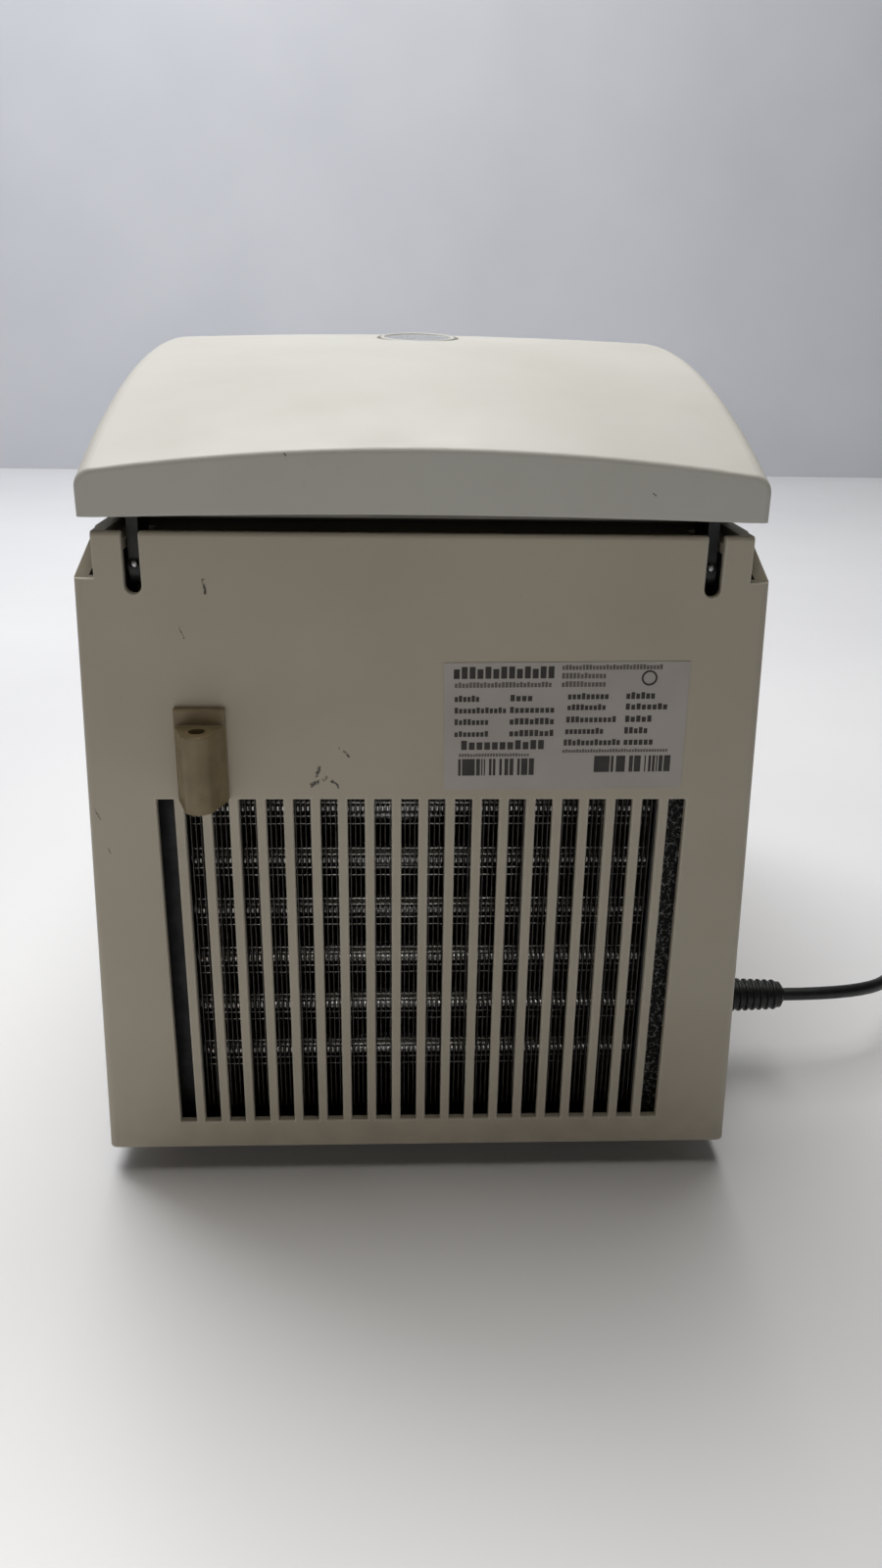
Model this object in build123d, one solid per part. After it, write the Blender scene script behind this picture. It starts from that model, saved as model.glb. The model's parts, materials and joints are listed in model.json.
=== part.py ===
from build123d import *
import os
from math import atan2, cos, radians, sin, tan

# Refrigerated benchtop microcentrifuge, in millimetres. +Z is up, the front faces -Y and the
# origin lies on the bench under the middle of the machine.

# Housing
wall = 3.5
rear = 210.5
front = -229.5
base_half = 148.2
shoulder_half = 139.5
top_half = 132.0
foot_height = 14.0
shoulder_z = 287.0
rim_z = 305.6
deck_z = 302.0
deck_under = 298.0
slope_low_z = 160.0
deck_front = -207.0
outside = 160.0
tray_top = foot_height + 1.7

# Rear grille
slot_count = 20
slot_pitch = 11.55
slot_width = 7.4
grille_low = 28.1
grille_high = 193.1
rim_chamfer = 0.5

# Lid: depth from the rear, height of its side edge and rise of its crown
lid_half = 136.0
lid_wall = 3.0
lid_low = 311.0
lid_rows = [
    (0, 328.0, 10.0),
    (10, 332.0, 9.6),
    (41, 343.0, 8.6),
    (91, 357.0, 7.0),
    (159, 369.0, 4.6),
    (235, 374.0, 3.0),
    (310, 370.0, 4.0),
    (370, 357.0, 6.0),
    (408, 341.0, 8.0),
    (420, 333.0, 9.0),
]
lid_corner = 8.0
liner_low = 306.3
liner_top = 313.0

# Hinge
hinge_x = 116.0
hinge_y = rear - 14.0
hinge_z = 290.0
slot_gap = 6.7
slot_low = 284.4
arm_half = 2.25
pin_radius = 3.0
boss_radius = 8.0

# Rotor chamber
rotor_y = rear - 193.0
bowl_radius = 100.0
bowl_sheet = 1.2
bowl_low = 213.0
window_radius = 18.7
window_tilt = 5.5
window_z = 374.6
shaft_radius = 6.0
rotor_low = 229.0
rotor_top = 287.0
rotor_lid_top = 291.0
knob_stem = 4.0
hole_count = 24
motor_low = 90.0
motor_top = 192.0

# Latch
latch_y = -188.0
latch_pivot_y = -170.0
latch_pivot_z = 268.0
latch_swing = 20.0
latch_pin_radius = 3.0
hook_top = 292.5
release_y = -50.0
release_z = 60.0

# Mains side, on the left wall
mains_y = rear - 85.0
mains_z = 43.5
mains_face = 146.4
switch_y = mains_y - 44.0
switch_pivot_x = -136.0
switch_tip = 8.0
cord_radius = 3.5

# Cord route: from the strain relief to the coil, and from the coil's top turn to the plug
cord_points = [
    (-200.0, 125.5, 43.5),
    (-247.0, 125.5, 43.5),
    (-280.0, 92.0, 38.0),
    (-304.0, 54.0, 18.0),
    (-325.0, 16.0, 5.0),
    (-344.0, -20.0, 3.75),
]
tail_points = [
    (-343.5, 20.0, 16.0),
    (-334.0, -8.0, 14.0),
    (-338.0, -37.0, 9.5),
    (-350.0, -61.0, 10.5),
]
coil_centre = (-384.0, 8.0)
coil_radius = 42.0
coil_bundle = (21.6, 19.8)
plug_turn = -30.0

# Condenser and fan, behind the grille
condenser_depth = 40.0
condenser_rear = rear - 15.0
condenser_half = 105.0
condenser_low = 24.0
condenser_high = 194.0
fin_pitch = 2.2
fin_sheet = 0.35
fin_count = 94
tube_rows = 6
tube_pitch = 25.4
tube_low = 54.6
tube_radius = 4.8
fan_z = 108.0
fan_y = 128.0
fan_radius = 72.0
fan_bore = 2.5
blade_count = 5
foam_outer = -118.0
foam_inner = -106.5

# Wrench holder on the rear wall, and the rating label
holder_x = 92.8
holder_half = 10.4
holder_low = 193.6
holder_high = 234.0
holder_column = 33.4
nose_out = 12.6
nose_radius = 6.4
socket_out = 10.0
socket_radius = 3.4
label_x = -59.0
label_z = 226.0
label_size = (102.0, 0.25, 56.0)
label_tilt = 0.7

# Electrical parts on the floor of the cabinet
board_area = ((20.0, 130.0), (-196.0, -90.0))
board_z = 150.0
compressor_x = -72.0
compressor_y = -140.0
compressor_radius = 50.0


def block(x, y, z):
    """Return a box between the given limits."""
    middle = [(low + high) / 2 for low, high in (x, y, z)]
    return Pos(*middle) * Box(x[1] - x[0], y[1] - y[0], z[1] - z[0])


def rod(radius, start, end):
    """Return a cylinder between two points."""
    start = Vector(*start)
    direction = Vector(*end) - start
    place = Plane(origin=start, z_dir=direction).location
    return place * Cylinder(radius, direction.length, align=(Align.CENTER, Align.CENTER, Align.MIN))


def tube_ring(inner, outer, low, high, x=0.0, y=0.0):
    """Return an upright tube."""
    middle = Pos(x, y, (low + high) / 2)
    return middle * (Cylinder(outer, high - low) - Cylinder(inner, high - low))


def prism_x(points, low, high):
    """Extrude an outline of (y, z) points along X."""
    face = Plane.YZ * make_face(Polyline(*points, close=True))
    return Pos(low, 0, 0) * extrude(face, high - low)


def prism_y(points, low, high):
    """Extrude an outline of (x, z) points along Y."""
    face = Plane.XZ * make_face(Polyline(*points, close=True))
    return Pos(0, high, 0) * extrude(face, high - low)


def turned(points, x=0.0, y=0.0):
    """Revolve an outline of (radius, z) points about an upright axis."""
    face = Plane.XZ * make_face(Polyline(*points, close=True))
    return Pos(x, y, 0) * revolve(face, Axis.Z)


def near_edges(solid, places, reach):
    """Return the edges whose middles lie near the given points."""
    return [
        edge
        for edge in solid.edges()
        if any((edge.center() - Vector(*place)).length < reach for place in places)
    ]


def join(parts):
    """Keep separate solids together as one group."""
    return Compound(children=list(parts))


def half_at(z):
    """Half width of the drafted side walls at a height."""
    return base_half - (z - foot_height) * (base_half - shoulder_half) / (shoulder_z - foot_height)


def drafted_body(inset, low, high):
    """Side profile crossed with the drafted cross-section, pulled in by a wall."""
    side = prism_x(
        [
            (front + inset, low),
            (front + inset, slope_low_z),
            (deck_front + inset, high),
            (rear - inset, high),
            (rear - inset, low),
        ],
        -outside,
        outside,
    )
    shoulder = shoulder_z - inset
    cross = prism_y(
        [
            (-half_at(low) + inset, low),
            (half_at(low) - inset, low),
            (shoulder_half - inset, shoulder),
            (top_half - inset, high),
            (-top_half + inset, high),
            (-shoulder_half + inset, shoulder),
        ],
        front - 1,
        rear + 1,
    )
    return side & cross


def slope_plane(along):
    """Plane on the sloping front, a distance up it, facing out."""
    lean = atan2(deck_front - front, rim_z - slope_low_z)
    origin = (0, front + along * sin(lean), slope_low_z + along * cos(lean))
    return Plane(origin=origin, x_dir=(1, 0, 0), z_dir=(0, -cos(lean), sin(lean)))


fascia_place = slope_plane(76.0)
fascia_size = (206.0, 104.0)
fascia_sheet = 3.0
fascia_window = (190.0, 90.0)
display_size = (112.0, 32.0)
display_up = 27.0
key_size = (22.0, 11.0)
key_rows = {
    "key_open": (-78.0, -8.0),
    "key_quick": (-78.0, -32.0),
    "key_up": (-14.0, -8.0),
    "key_down": (-14.0, -32.0),
    "key_stop": (52.0, -20.0),
    "key_start": (82.0, -20.0),
}


def on_fascia(x, up, out):
    """Location on the control fascia, out from the housing's slope."""
    return fascia_place.location * Pos(x, up, out)


def grille_slots():
    """The row of tall openings in the rear wall."""
    first = -slot_pitch * (slot_count - 1) / 2
    through_wall = (rear - wall - 2, rear + 1)
    slots = []
    for index in range(slot_count):
        x = first + index * slot_pitch
        slots.append(block((x - slot_width / 2, x + slot_width / 2), through_wall, (grille_low, grille_high)))
    return slots


def side_vents():
    """Upright exhaust slots through both side walls near the front."""
    vent_count = 12
    vent_pitch = 11.0
    vent_half = 2.0
    vent_front = -190.0
    slots = []
    for index in range(vent_count):
        y = vent_front + index * vent_pitch
        slots.append(block((-outside, outside), (y - vent_half, y + vent_half), (50, 110)))
    return slots


def slot_rims(shell):
    """Outer edges of the grille openings and of the hinge slots."""
    grille_half = slot_pitch * slot_count / 2
    rims = []
    for edge in shell.edges():
        middle = edge.center()
        on_rear = abs(middle.Y - rear) < 0.01
        in_grille = grille_low - 1 < middle.Z < grille_high + 1 and abs(middle.X) < grille_half
        in_hinge_slot = slot_low - 5 < middle.Z < rim_z - 3 and abs(abs(middle.X) - hinge_x) < slot_gap
        if on_rear and (in_grille or in_hinge_slot):
            rims.append(edge)
    return rims


def rounded_shell():
    """Closed drafted box with its outer corners rounded, then hollowed."""
    side_fillet = 4.0
    front_fillet = 3.0
    rim_fillet = 2.0
    middle_z = (foot_height + shoulder_z) / 2
    front_z = (foot_height + slope_low_z) / 2
    shell = drafted_body(0, foot_height, rim_z)
    rear_corners = [(side * half_at(middle_z), rear, middle_z) for side in (-1, 1)]
    shell = fillet(near_edges(shell, rear_corners, 12), side_fillet)
    front_corners = [(side * half_at(front_z), front, front_z) for side in (-1, 1)]
    shell = fillet(near_edges(shell, front_corners, 8), front_fillet)
    shell = fillet(near_edges(shell, [(0, rear, rim_z)], 3), rim_fillet)
    return shell - drafted_body(wall, foot_height - 1, deck_under)


def deck_recess():
    """Sunk deck inside the rim, and the round mouth of the rotor chamber."""
    rim_width = 6.0
    recess_half = top_half - rim_width
    recess = block((-recess_half, recess_half), (deck_front + 8, rear - wall), (deck_z, rim_z + 2))
    return recess + Pos(0, rotor_y, deck_z) * Cylinder(bowl_radius + 3.5, 30)


def hinge_slot(x):
    """Slot with a round foot that the hinge arm swings in."""
    slot = block((x - slot_gap / 2, x + slot_gap / 2), (rear - 38, rear + 1), (slot_low, rim_z + 2))
    return slot + rod(slot_gap / 2, (x, rear - 6, slot_low), (x, rear + 1, slot_low))


def shoulder_notch(side):
    """Wedge cut from the shoulder beside the hinge."""
    outline = [(rear + 1, shoulder_z), (rear - 3, shoulder_z), (rear - 15, rim_z + 1), (rear + 1, rim_z + 1)]
    notch = prism_x(outline, top_half - 1, outside)
    return notch if side > 0 else mirror(notch, Plane.YZ)


def wall_openings():
    """Openings for the latch, the fascia, the mains inlet, the switch and the release plug."""
    left = (-outside, -130.0)
    latch = block((-12, 12), (latch_y - 6, latch_y + 18), (deck_under - 1, rim_z + 2))
    seat = fascia_place.location * Box(fascia_size[0] + 0.6, fascia_size[1] + 0.6, fascia_sheet)
    window = fascia_place.location * Box(fascia_window[0], fascia_window[1], 30.0)
    inlet = block(left, (mains_y - 15.2, mains_y + 15.2), (mains_z - 12.2, mains_z + 12.2))
    switch = block(left, (switch_y - 10.7, switch_y + 10.7), (mains_z - 14.7, mains_z + 14.7))
    release = rod(8.3, (130, release_y, release_z), (outside, release_y, release_z))
    return [latch, seat, window, inlet, switch, release]


def make_housing():
    """Cabinet shell with its deck, slots and openings."""
    shell = rounded_shell() - deck_recess()
    for side in (-1, 1):
        shell -= hinge_slot(side * hinge_x)
        shell -= shoulder_notch(side)
    shell -= grille_slots()
    shell -= side_vents()
    shell -= wall_openings()
    return chamfer(slot_rims(shell), rim_chamfer)


def make_base_tray():
    """Folded floor pan with a row of drain slots."""
    tray_half = 143.5
    sheet = 1.5
    low = foot_height + 0.2
    lip = 26.0
    tray = block((-tray_half, tray_half), (front + 4, rear - 4), (low, lip))
    inner_half = tray_half - sheet
    tray -= block((-inner_half, inner_half), (front + 4 + sheet, rear - 4 - sheet), (low + sheet, lip + 1))
    for index in range(9):
        y = -100.0 + index * 18.0
        tray -= block((-40, 40), (y - 3, y + 3), (foot_height - 1, foot_height + 3))
    return tray


def make_foot(x, y):
    """Tapered rubber foot with a hole for its screw."""
    upright = (Align.CENTER, Align.CENTER, Align.MIN)
    foot = Pos(x, y, 0) * Cone(12.5, 15, foot_height, align=upright)
    return foot - Pos(x, y, 0) * Cylinder(4, 6, align=upright)


def lid_section(back, side_z, crown, inset, low):
    """Cross-section of the lid: straight sides, rounded corners and an arched top."""
    half = lid_half - inset
    top = side_z - inset
    outline = Polyline((-half, top), (-half, low), (half, low), (half, top))
    arch = ThreePointArc((half, top), (0, top + crown), (-half, top))
    face = make_face(outline + arch)
    tops = [corner for corner in face.vertices() if corner.Y > low + 1]
    face = fillet(tops, lid_corner - inset)
    return Pos(0, rear - back, 0) * (Plane.XZ * face)


def lid_loft(inset, low):
    """Loft the lid's cross-sections, pulled in by an inset at the sides and both ends."""
    sections = []
    for index, (back, side_z, crown) in enumerate(lid_rows):
        if index == 0:
            back = inset
        if index == len(lid_rows) - 1:
            back -= inset
        sections.append(lid_section(back, side_z, crown, inset, low))
    return loft(sections)


def window_location():
    """Middle of the lid window, tilted with the lid's top."""
    return Pos(0, rotor_y, window_z) * Rot(-window_tilt, 0, 0)


def make_lid_shell():
    """Arched lid with a shallow arch cut in its rear skirt."""
    end_fillet = 2.5
    arch_rise = 2.0
    arch_half = 128.0
    lid_depth = lid_rows[-1][0]
    shell = lid_loft(0, lid_low)
    long_edges = [edge for edge in shell.edges() if edge.center().Z > lid_low + 12 and edge.length > 200]
    ends = [
        edge
        for edge in long_edges
        if abs(edge.center().Y - rear) < 1 or abs(edge.center().Y - rear + lid_depth) < 1
    ]
    shell = fillet(ends, end_fillet)
    shell -= lid_loft(lid_wall, lid_low - 1)
    arch_radius = (arch_half**2 + arch_rise**2) / (2 * arch_rise)
    arch_z = lid_low + arch_rise - arch_radius
    shell -= rod(arch_radius, (0, rear + 5, arch_z), (0, rear - 5, arch_z))
    return shell - window_location() * Cylinder(window_radius + 2.8, 30)


def make_lid_liner():
    """Inner lid plate, with openings for the window, the hinge arms and the striker."""
    step_y = rear - 31.0
    low_half = 129.0
    top_half_width = lid_half - lid_wall - 0.4
    lower = prism_y(
        [
            (-low_half, liner_low),
            (low_half, liner_low),
            (top_half_width, lid_low),
            (top_half_width, liner_top),
            (-top_half_width, liner_top),
            (-top_half_width, lid_low),
        ],
        rear - 416,
        step_y,
    )
    liner = lower + block((-top_half_width, top_half_width), (step_y, rear - 3.4), (lid_low + 0.2, liner_top))
    through = (liner_low - 1, liner_top + 1)
    liner -= Pos(0, rotor_y, liner_low) * Cylinder(window_radius + 0.3, 30)
    for side in (-1, 1):
        x = side * hinge_x
        liner -= block((x - 2.6, x + 2.6), (rear - 34, rear - 6), through)
    return liner - block((-10.2, 10.2), (latch_y - 1.6, latch_y + 1.6), through)


def make_gasket():
    """Ring seal around the mouth of the rotor chamber."""
    return tube_ring(103.5, 109, deck_z + 1.5, liner_low, 0, rotor_y)


def make_window():
    """Two clear discs, one in the lid's top and one in its liner."""
    upper = window_location() * Cylinder(window_radius - 0.2, 3)
    lower = Pos(0, rotor_y, liner_low + 2.2) * Cylinder(window_radius, 4)
    return join([upper, lower])


def make_bezel():
    """Tube between the two window discs, with a rim that shows on top."""
    tube = tube_ring(window_radius, window_radius + 2, liner_top, window_z + 8, 0, rotor_y)
    tube -= window_location() * Pos(0, 0, 16) * Cylinder(40, 32)
    rim = window_location() * (Cylinder(window_radius + 2.6, 2.8) - Cylinder(window_radius, 2.8))
    return tube + rim


def make_hinge_arm(x):
    """Plate that hangs from the lid and turns on the hinge pin."""
    plate_top = liner_top + 3
    web = prism_x(
        [
            (hinge_y - 6, hinge_z - 3),
            (hinge_y + 7, hinge_z - 2),
            (hinge_y + 7, liner_top + 0.5),
            (hinge_y - 18, liner_top + 0.5),
            (hinge_y - 18, liner_top - 3),
        ],
        x - arm_half,
        x + arm_half,
    )
    boss = rod(boss_radius, (x - arm_half, hinge_y, hinge_z), (x + arm_half, hinge_y, hinge_z))
    flange = block((x - 10, x + 10), (hinge_y - 18, hinge_y + 7), (liner_top, plate_top))
    bore = rod(pin_radius + 0.06, (x - 5, hinge_y, hinge_z), (x + 5, hinge_y, hinge_z))
    return web + boss + flange - bore


def make_hinge_bracket(x):
    """Two ears on a foot plate, which hold the hinge pin."""
    ear_gap = 3.4
    ear_sheet = 2.5
    depth = (hinge_y - 10, rear - wall)
    foot = (259.0, 262.0)
    bracket = block((x - 14, x + 14), depth, foot)
    for side in (-1, 1):
        inner = x + side * ear_gap
        outer = x + side * (ear_gap + ear_sheet)
        bracket += block((min(inner, outer), max(inner, outer)), depth, (foot[1], deck_under - 1))
    return bracket - rod(pin_radius, (x - 20, hinge_y, hinge_z), (x + 20, hinge_y, hinge_z))


def make_hinge_pins():
    """Headed pins, one for each hinge."""
    pin_half = 7.0
    head_radius = 4.6
    pins = []
    for side in (-1, 1):
        x = side * hinge_x
        pin = rod(pin_radius, (x - pin_half, hinge_y, hinge_z), (x + pin_half, hinge_y, hinge_z))
        head = rod(head_radius, (x + side * 5.9, hinge_y, hinge_z), (x + side * 8.4, hinge_y, hinge_z))
        pins.append(pin + head)
    return join(pins)


def make_striker():
    """Slotted tongue under the lid that the latch hook enters."""
    half_sheet = 1.25
    plate = block((-10, 10), (latch_y - half_sheet, latch_y + half_sheet), (282, liner_top + 2))
    plate -= block((-6.5, 6.5), (latch_y - 3, latch_y + 3), (287, 297.8))
    return plate + block((-10, 10), (latch_y - half_sheet, latch_y + 14), (liner_top, liner_top + 2))


def make_latch_hook():
    """Hook drawn engaged, then swung back to its released rest."""
    tip_y = latch_y - 4.5
    arm = prism_x(
        [
            (latch_pivot_y - 5, latch_pivot_z - 5),
            (latch_pivot_y + 5, latch_pivot_z - 5),
            (latch_pivot_y + 5, hook_top),
            (tip_y, hook_top),
            (tip_y, hook_top - 3),
            (latch_pivot_y - 4, hook_top - 4.5),
        ],
        -4,
        4,
    )
    arm -= rod(latch_pin_radius + 0.06, (-6, latch_pivot_y, latch_pivot_z), (6, latch_pivot_y, latch_pivot_z))
    pivot = Pos(0, latch_pivot_y, latch_pivot_z)
    return pivot * Rot(-latch_swing, 0, 0) * Pos(0, -latch_pivot_y, -latch_pivot_z) * arm


def make_latch_bracket():
    """Two cheeks, a foot and the pin that the hook turns on."""
    depth = (latch_pivot_y - 9, latch_pivot_y + 9)
    foot = (247.0, 250.0)
    cheek = 2.5
    outer = 7.5
    frame = block((-outer, outer), depth, foot)
    frame += block((-outer, -outer + cheek), depth, (foot[1], deck_under))
    frame += block((outer - cheek, outer), depth, (foot[1], deck_under))
    pin = rod(latch_pin_radius, (-7, latch_pivot_y, latch_pivot_z), (7, latch_pivot_y, latch_pivot_z))
    return frame + pin


def make_latch_motor():
    """Gearbox under the latch bracket, with its small motor beside it."""
    motor_z = 236.0
    gearbox = block((-12, 12), (latch_pivot_y - 12, latch_pivot_y + 12), (225, 247))
    return gearbox + rod(9, (-34, latch_pivot_y, motor_z), (-12, latch_pivot_y, motor_z))


def make_release():
    """Emergency release plug: a flush cap on a pull rod."""
    cap_inner = 143.5
    cap = rod(8.0, (cap_inner, release_y, release_z), (cap_inner + 2.9, release_y, release_z))
    return cap + rod(5.0, (122, release_y, release_z), (cap_inner, release_y, release_z))


def make_bowl():
    """Spun bowl with a flanged mouth and a hole for the drive shaft."""
    top = deck_z + bowl_sheet
    hole = 17.0
    flange = 108.0
    corner = 8.0
    return turned(
        [
            (hole, bowl_low),
            (bowl_radius - corner, bowl_low),
            (bowl_radius + bowl_sheet, bowl_low + corner + bowl_sheet),
            (bowl_radius + bowl_sheet, deck_z),
            (flange, deck_z),
            (flange, top),
            (bowl_radius, top),
            (bowl_radius, bowl_low + corner + 1.7),
            (bowl_radius - corner - 0.5, bowl_low + bowl_sheet),
            (hole, bowl_low + bowl_sheet),
        ],
        0,
        rotor_y,
    )


def make_insulation():
    """Foamed jacket around and under the bowl."""
    low = 203.0
    sleeve_inner = 109.6
    sleeve = tube_ring(sleeve_inner, 122, low, deck_under - 1, 0, rotor_y)
    floor = tube_ring(24, sleeve_inner, low, bowl_low - 0.2, 0, rotor_y)
    return sleeve + floor


def make_evaporator():
    """Cooling tube rings wrapped around the bowl."""
    tube = 3.4
    pitch = 9.0
    rings = []
    for index in range(8):
        z = bowl_low + 14 + index * pitch
        rings.append(Pos(0, rotor_y, z) * Torus(bowl_radius + bowl_sheet + tube + 0.8, tube))
    return join(rings)


def make_rotor():
    """Fixed-angle rotor with one ring of tube holes."""
    hole_radius = 5.6
    body = turned(
        [
            (shaft_radius, rotor_low),
            (20, rotor_low),
            (30, 234),
            (88, 234),
            (93, 239),
            (93, 262),
            (80, rotor_top),
            (75, rotor_top),
            (40, 252),
            (22, 252),
            (18, 258),
            (shaft_radius, 258),
        ],
        0,
        rotor_y,
    )
    for index in range(hole_count):
        hole = Rot(0, 0, index * 360 / hole_count) * rod(hole_radius, (51, 0, 273), (83, 0, 241))
        body -= Pos(0, rotor_y, 0) * hole
    return body


def make_rotor_lid():
    """Dished cover that drops into the rotor."""
    bore = knob_stem + 0.06
    return turned(
        [
            (bore, 262),
            (10, 262),
            (12, 284),
            (72, 284),
            (73.5, rotor_top),
            (80, rotor_top),
            (80, 289),
            (60, rotor_lid_top),
            (bore, rotor_lid_top),
        ],
        0,
        rotor_y,
    )


def make_rotor_knob():
    """Grooved knob on a stem, which clamps the rotor's cover."""
    groove_count = 12
    under = rotor_lid_top + 0.2
    top = 300.5
    stem = [(0, 264), (knob_stem, 264), (knob_stem, under)]
    head = [(15, under), (15, top - 2.5), (12.5, top), (0, top)]
    knob = turned(stem + head, 0, rotor_y)
    for index in range(groove_count):
        groove = Rot(0, 0, index * 360 / groove_count) * Pos(16.2, 0, 296) * Cylinder(2.2, 14)
        knob -= Pos(0, rotor_y, 0) * groove
    return knob


def make_shaft():
    """Drive shaft with a collar under the rotor."""
    shaft = rod(shaft_radius, (0, 0, 120), (0, 0, 260))
    collar = rod(11, (0, 0, 212), (0, 0, rotor_low))
    return Pos(0, rotor_y, 0) * (shaft + collar)


def make_motor():
    """Drive motor can with a nose bearing and a mounting flange."""
    bore = shaft_radius + 0.4
    can = tube_ring(bore, 50, motor_low, motor_top, 0, rotor_y)
    can += tube_ring(bore, 22, motor_top, motor_top + 7, 0, rotor_y)
    return can + tube_ring(49, 66, motor_low, motor_low + 5, 0, rotor_y)


def mount_places():
    """Three places around the motor flange."""
    mount_radius = 56.0
    angles = [radians(30 + 120 * index) for index in range(3)]
    return [(mount_radius * cos(angle), mount_radius * sin(angle) + rotor_y) for angle in angles]


def make_rubber_mounts():
    """Grommets under the drive motor and under the compressor."""
    mount_height = 21.0
    places = [(x, y, motor_low - mount_height) for x, y in mount_places()]
    places += [(compressor_x + x, compressor_y + y, tray_top) for x in (-50, 50) for y in (-32, 32)]
    return join([tube_ring(0.8, 8, low, low + mount_height, x, y) for x, y, low in places])


def make_motor_bracket():
    """Bridge over the tray that carries the drive motor."""
    sheet = 3.0
    reach = 75.0
    depth = (rotor_y - 48, rotor_y + 48)
    top = motor_low - 21
    bracket = block((-reach, reach), depth, (top - sheet, top))
    for side in (-1, 1):
        leg = sorted((side * (reach - sheet), side * reach))
        foot = sorted((side * reach, side * (reach + 13)))
        bracket += block(leg, depth, (tray_top, top - sheet))
        bracket += block(foot, depth, (tray_top, tray_top + sheet))
    return bracket


def make_fins():
    """Thin upright sheets, evenly spaced."""
    first = -fin_pitch * (fin_count - 1) / 2
    depth = (condenser_rear - condenser_depth, condenser_rear)
    height = (condenser_low + 2, condenser_high - 2)
    fins = []
    for index in range(fin_count):
        x = first + index * fin_pitch
        fins.append(block((x - fin_sheet / 2, x + fin_sheet / 2), depth, height))
    return join(fins)


def tube_places():
    """Heights and depths of the tube runs, in two staggered ranks."""
    places = []
    for row in range(tube_rows):
        z = tube_low + row * tube_pitch
        places.append((condenser_rear - 10, z))
        places.append((condenser_rear - 30, z - tube_pitch / 2))
    return places


def make_condenser_tubes():
    """Straight tube runs through the fins and both end plates."""
    reach = condenser_half + 1.2
    return join([rod(tube_radius, (-reach, y, z), (reach, y, z)) for y, z in tube_places()])


def make_condenser_frame():
    """End plates; the one on the +X side has a flange that closes the gap beside it."""
    sheet = 1.2
    flange_reach = 118.0
    heights = (tray_top, condenser_high)
    plates = []
    for side in (-1, 1):
        low, high = sorted((side * (condenser_half - sheet), side * condenser_half))
        plate = block((low, high), (condenser_rear - condenser_depth, condenser_rear), heights)
        for y, z in tube_places():
            plate -= rod(tube_radius, (low - 5, y, z), (high + 5, y, z))
        if side > 0:
            plate += block((low, flange_reach), (condenser_rear - sheet, condenser_rear), heights)
        plates.append(plate)
    return join(plates)


def make_foam_strip():
    """Foam that seals the gap beside the fins."""
    depth = (condenser_rear - 10, condenser_rear - 1)
    return block((foam_outer, foam_inner), depth, (tray_top, condenser_high))


def make_fan_shroud():
    """Open box between the fan and the fins."""
    wall_sheet = 3.0
    half = 100.0
    low = tray_top
    high = condenser_high - 2
    depth = (fan_y - 14, condenser_rear - condenser_depth - 0.5)
    shroud = block((-half, half), depth, (low, high))
    inner = half - wall_sheet
    hollow = (depth[0] + wall_sheet, depth[1] + 1)
    shroud -= block((-inner, inner), hollow, (low + wall_sheet, high - wall_sheet))
    return shroud - rod(fan_radius + 3, (0, depth[0] - 1, fan_z), (0, depth[0] + 5, fan_z))


def make_fan():
    """Hub with pitched blades."""
    blade_pitch = 28.0
    blade_size = (34.0, 2.0, 54.0)
    fan = rod(20, (0, fan_y - 8, fan_z), (0, fan_y + 10, fan_z))
    for index in range(blade_count):
        blade = Pos(0, 0, 45) * Rot(0, 0, blade_pitch) * Box(*blade_size)
        fan += Pos(0, fan_y, fan_z) * Rot(0, index * 360 / blade_count, 0) * blade
    return fan - rod(fan_bore + 0.06, (0, fan_y - 20, fan_z), (0, fan_y + 20, fan_z))


def make_fan_motor():
    """Motor can, its shaft and the post that it stands on."""
    motor = rod(24, (0, fan_y - 42, fan_z), (0, fan_y - 12, fan_z))
    motor += rod(fan_bore, (0, fan_y - 12, fan_z), (0, fan_y + 8, fan_z))
    motor += block((-8, 8), (fan_y - 40, fan_y - 28), (tray_top, fan_z))
    return motor + block((-20, 20), (fan_y - 46, fan_y - 28), (tray_top, tray_top + 3))


def make_compressor():
    """Hermetic compressor: a domed can on a base plate."""
    base = tray_top + 21
    plate = 4.0
    can_top = 140.0
    radius = compressor_radius
    can = Pos(compressor_x, compressor_y, 0) * rod(radius, (0, 0, base + plate), (0, 0, can_top))
    dome = Pos(compressor_x, compressor_y, can_top) * Sphere(radius, arc_size1=0)
    dome = dome & Pos(compressor_x, compressor_y, can_top + 10) * Box(110, 110, 44)
    width = (compressor_x - 60, compressor_x + 60)
    depth = (compressor_y - 42, compressor_y + 42)
    return can + dome + block(width, depth, (base, base + plate))


def make_board():
    """Power board with a heat sink and two capacitors."""
    top = board_z + 1.6
    board = block(*board_area, (board_z, top))
    board += block((30, 62), (-180, -140), (top, 176))
    for y in (-160, -125):
        board += rod(12, (96, y, top), (96, y, 186))
    return board


def make_transformer():
    """Laminated core and its winding."""
    core = block((40, 112), (-190, -130), (30, 96))
    return core + block((50, 102), (-196, -124), (44, 82))


def make_power_bracket():
    """Folded bracket: a shelf for the transformer and two rails for the board."""
    width, depth = board_area
    shelf = 30.0
    rail = 3.0
    bracket = block(width, depth, (tray_top, shelf))
    for x in (width[0], width[1] - rail):
        bracket += block((x, x + rail), depth, (shelf, board_z))
    return bracket


def make_fascia():
    """Control panel with openings for the display and the keys."""
    plate = fascia_place.location * Box(fascia_size[0], fascia_size[1], fascia_sheet)
    plate -= on_fascia(0, display_up, 0) * Box(display_size[0] + 0.4, display_size[1] + 0.4, 6)
    for x, up in key_rows.values():
        plate -= on_fascia(x, up, 0) * Box(key_size[0] + 0.8, key_size[1] + 0.8, 6)
    return plate


def make_display():
    """Clear window over the readout."""
    return on_fascia(0, display_up, 0) * Box(display_size[0], display_size[1], 2.6)


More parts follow.
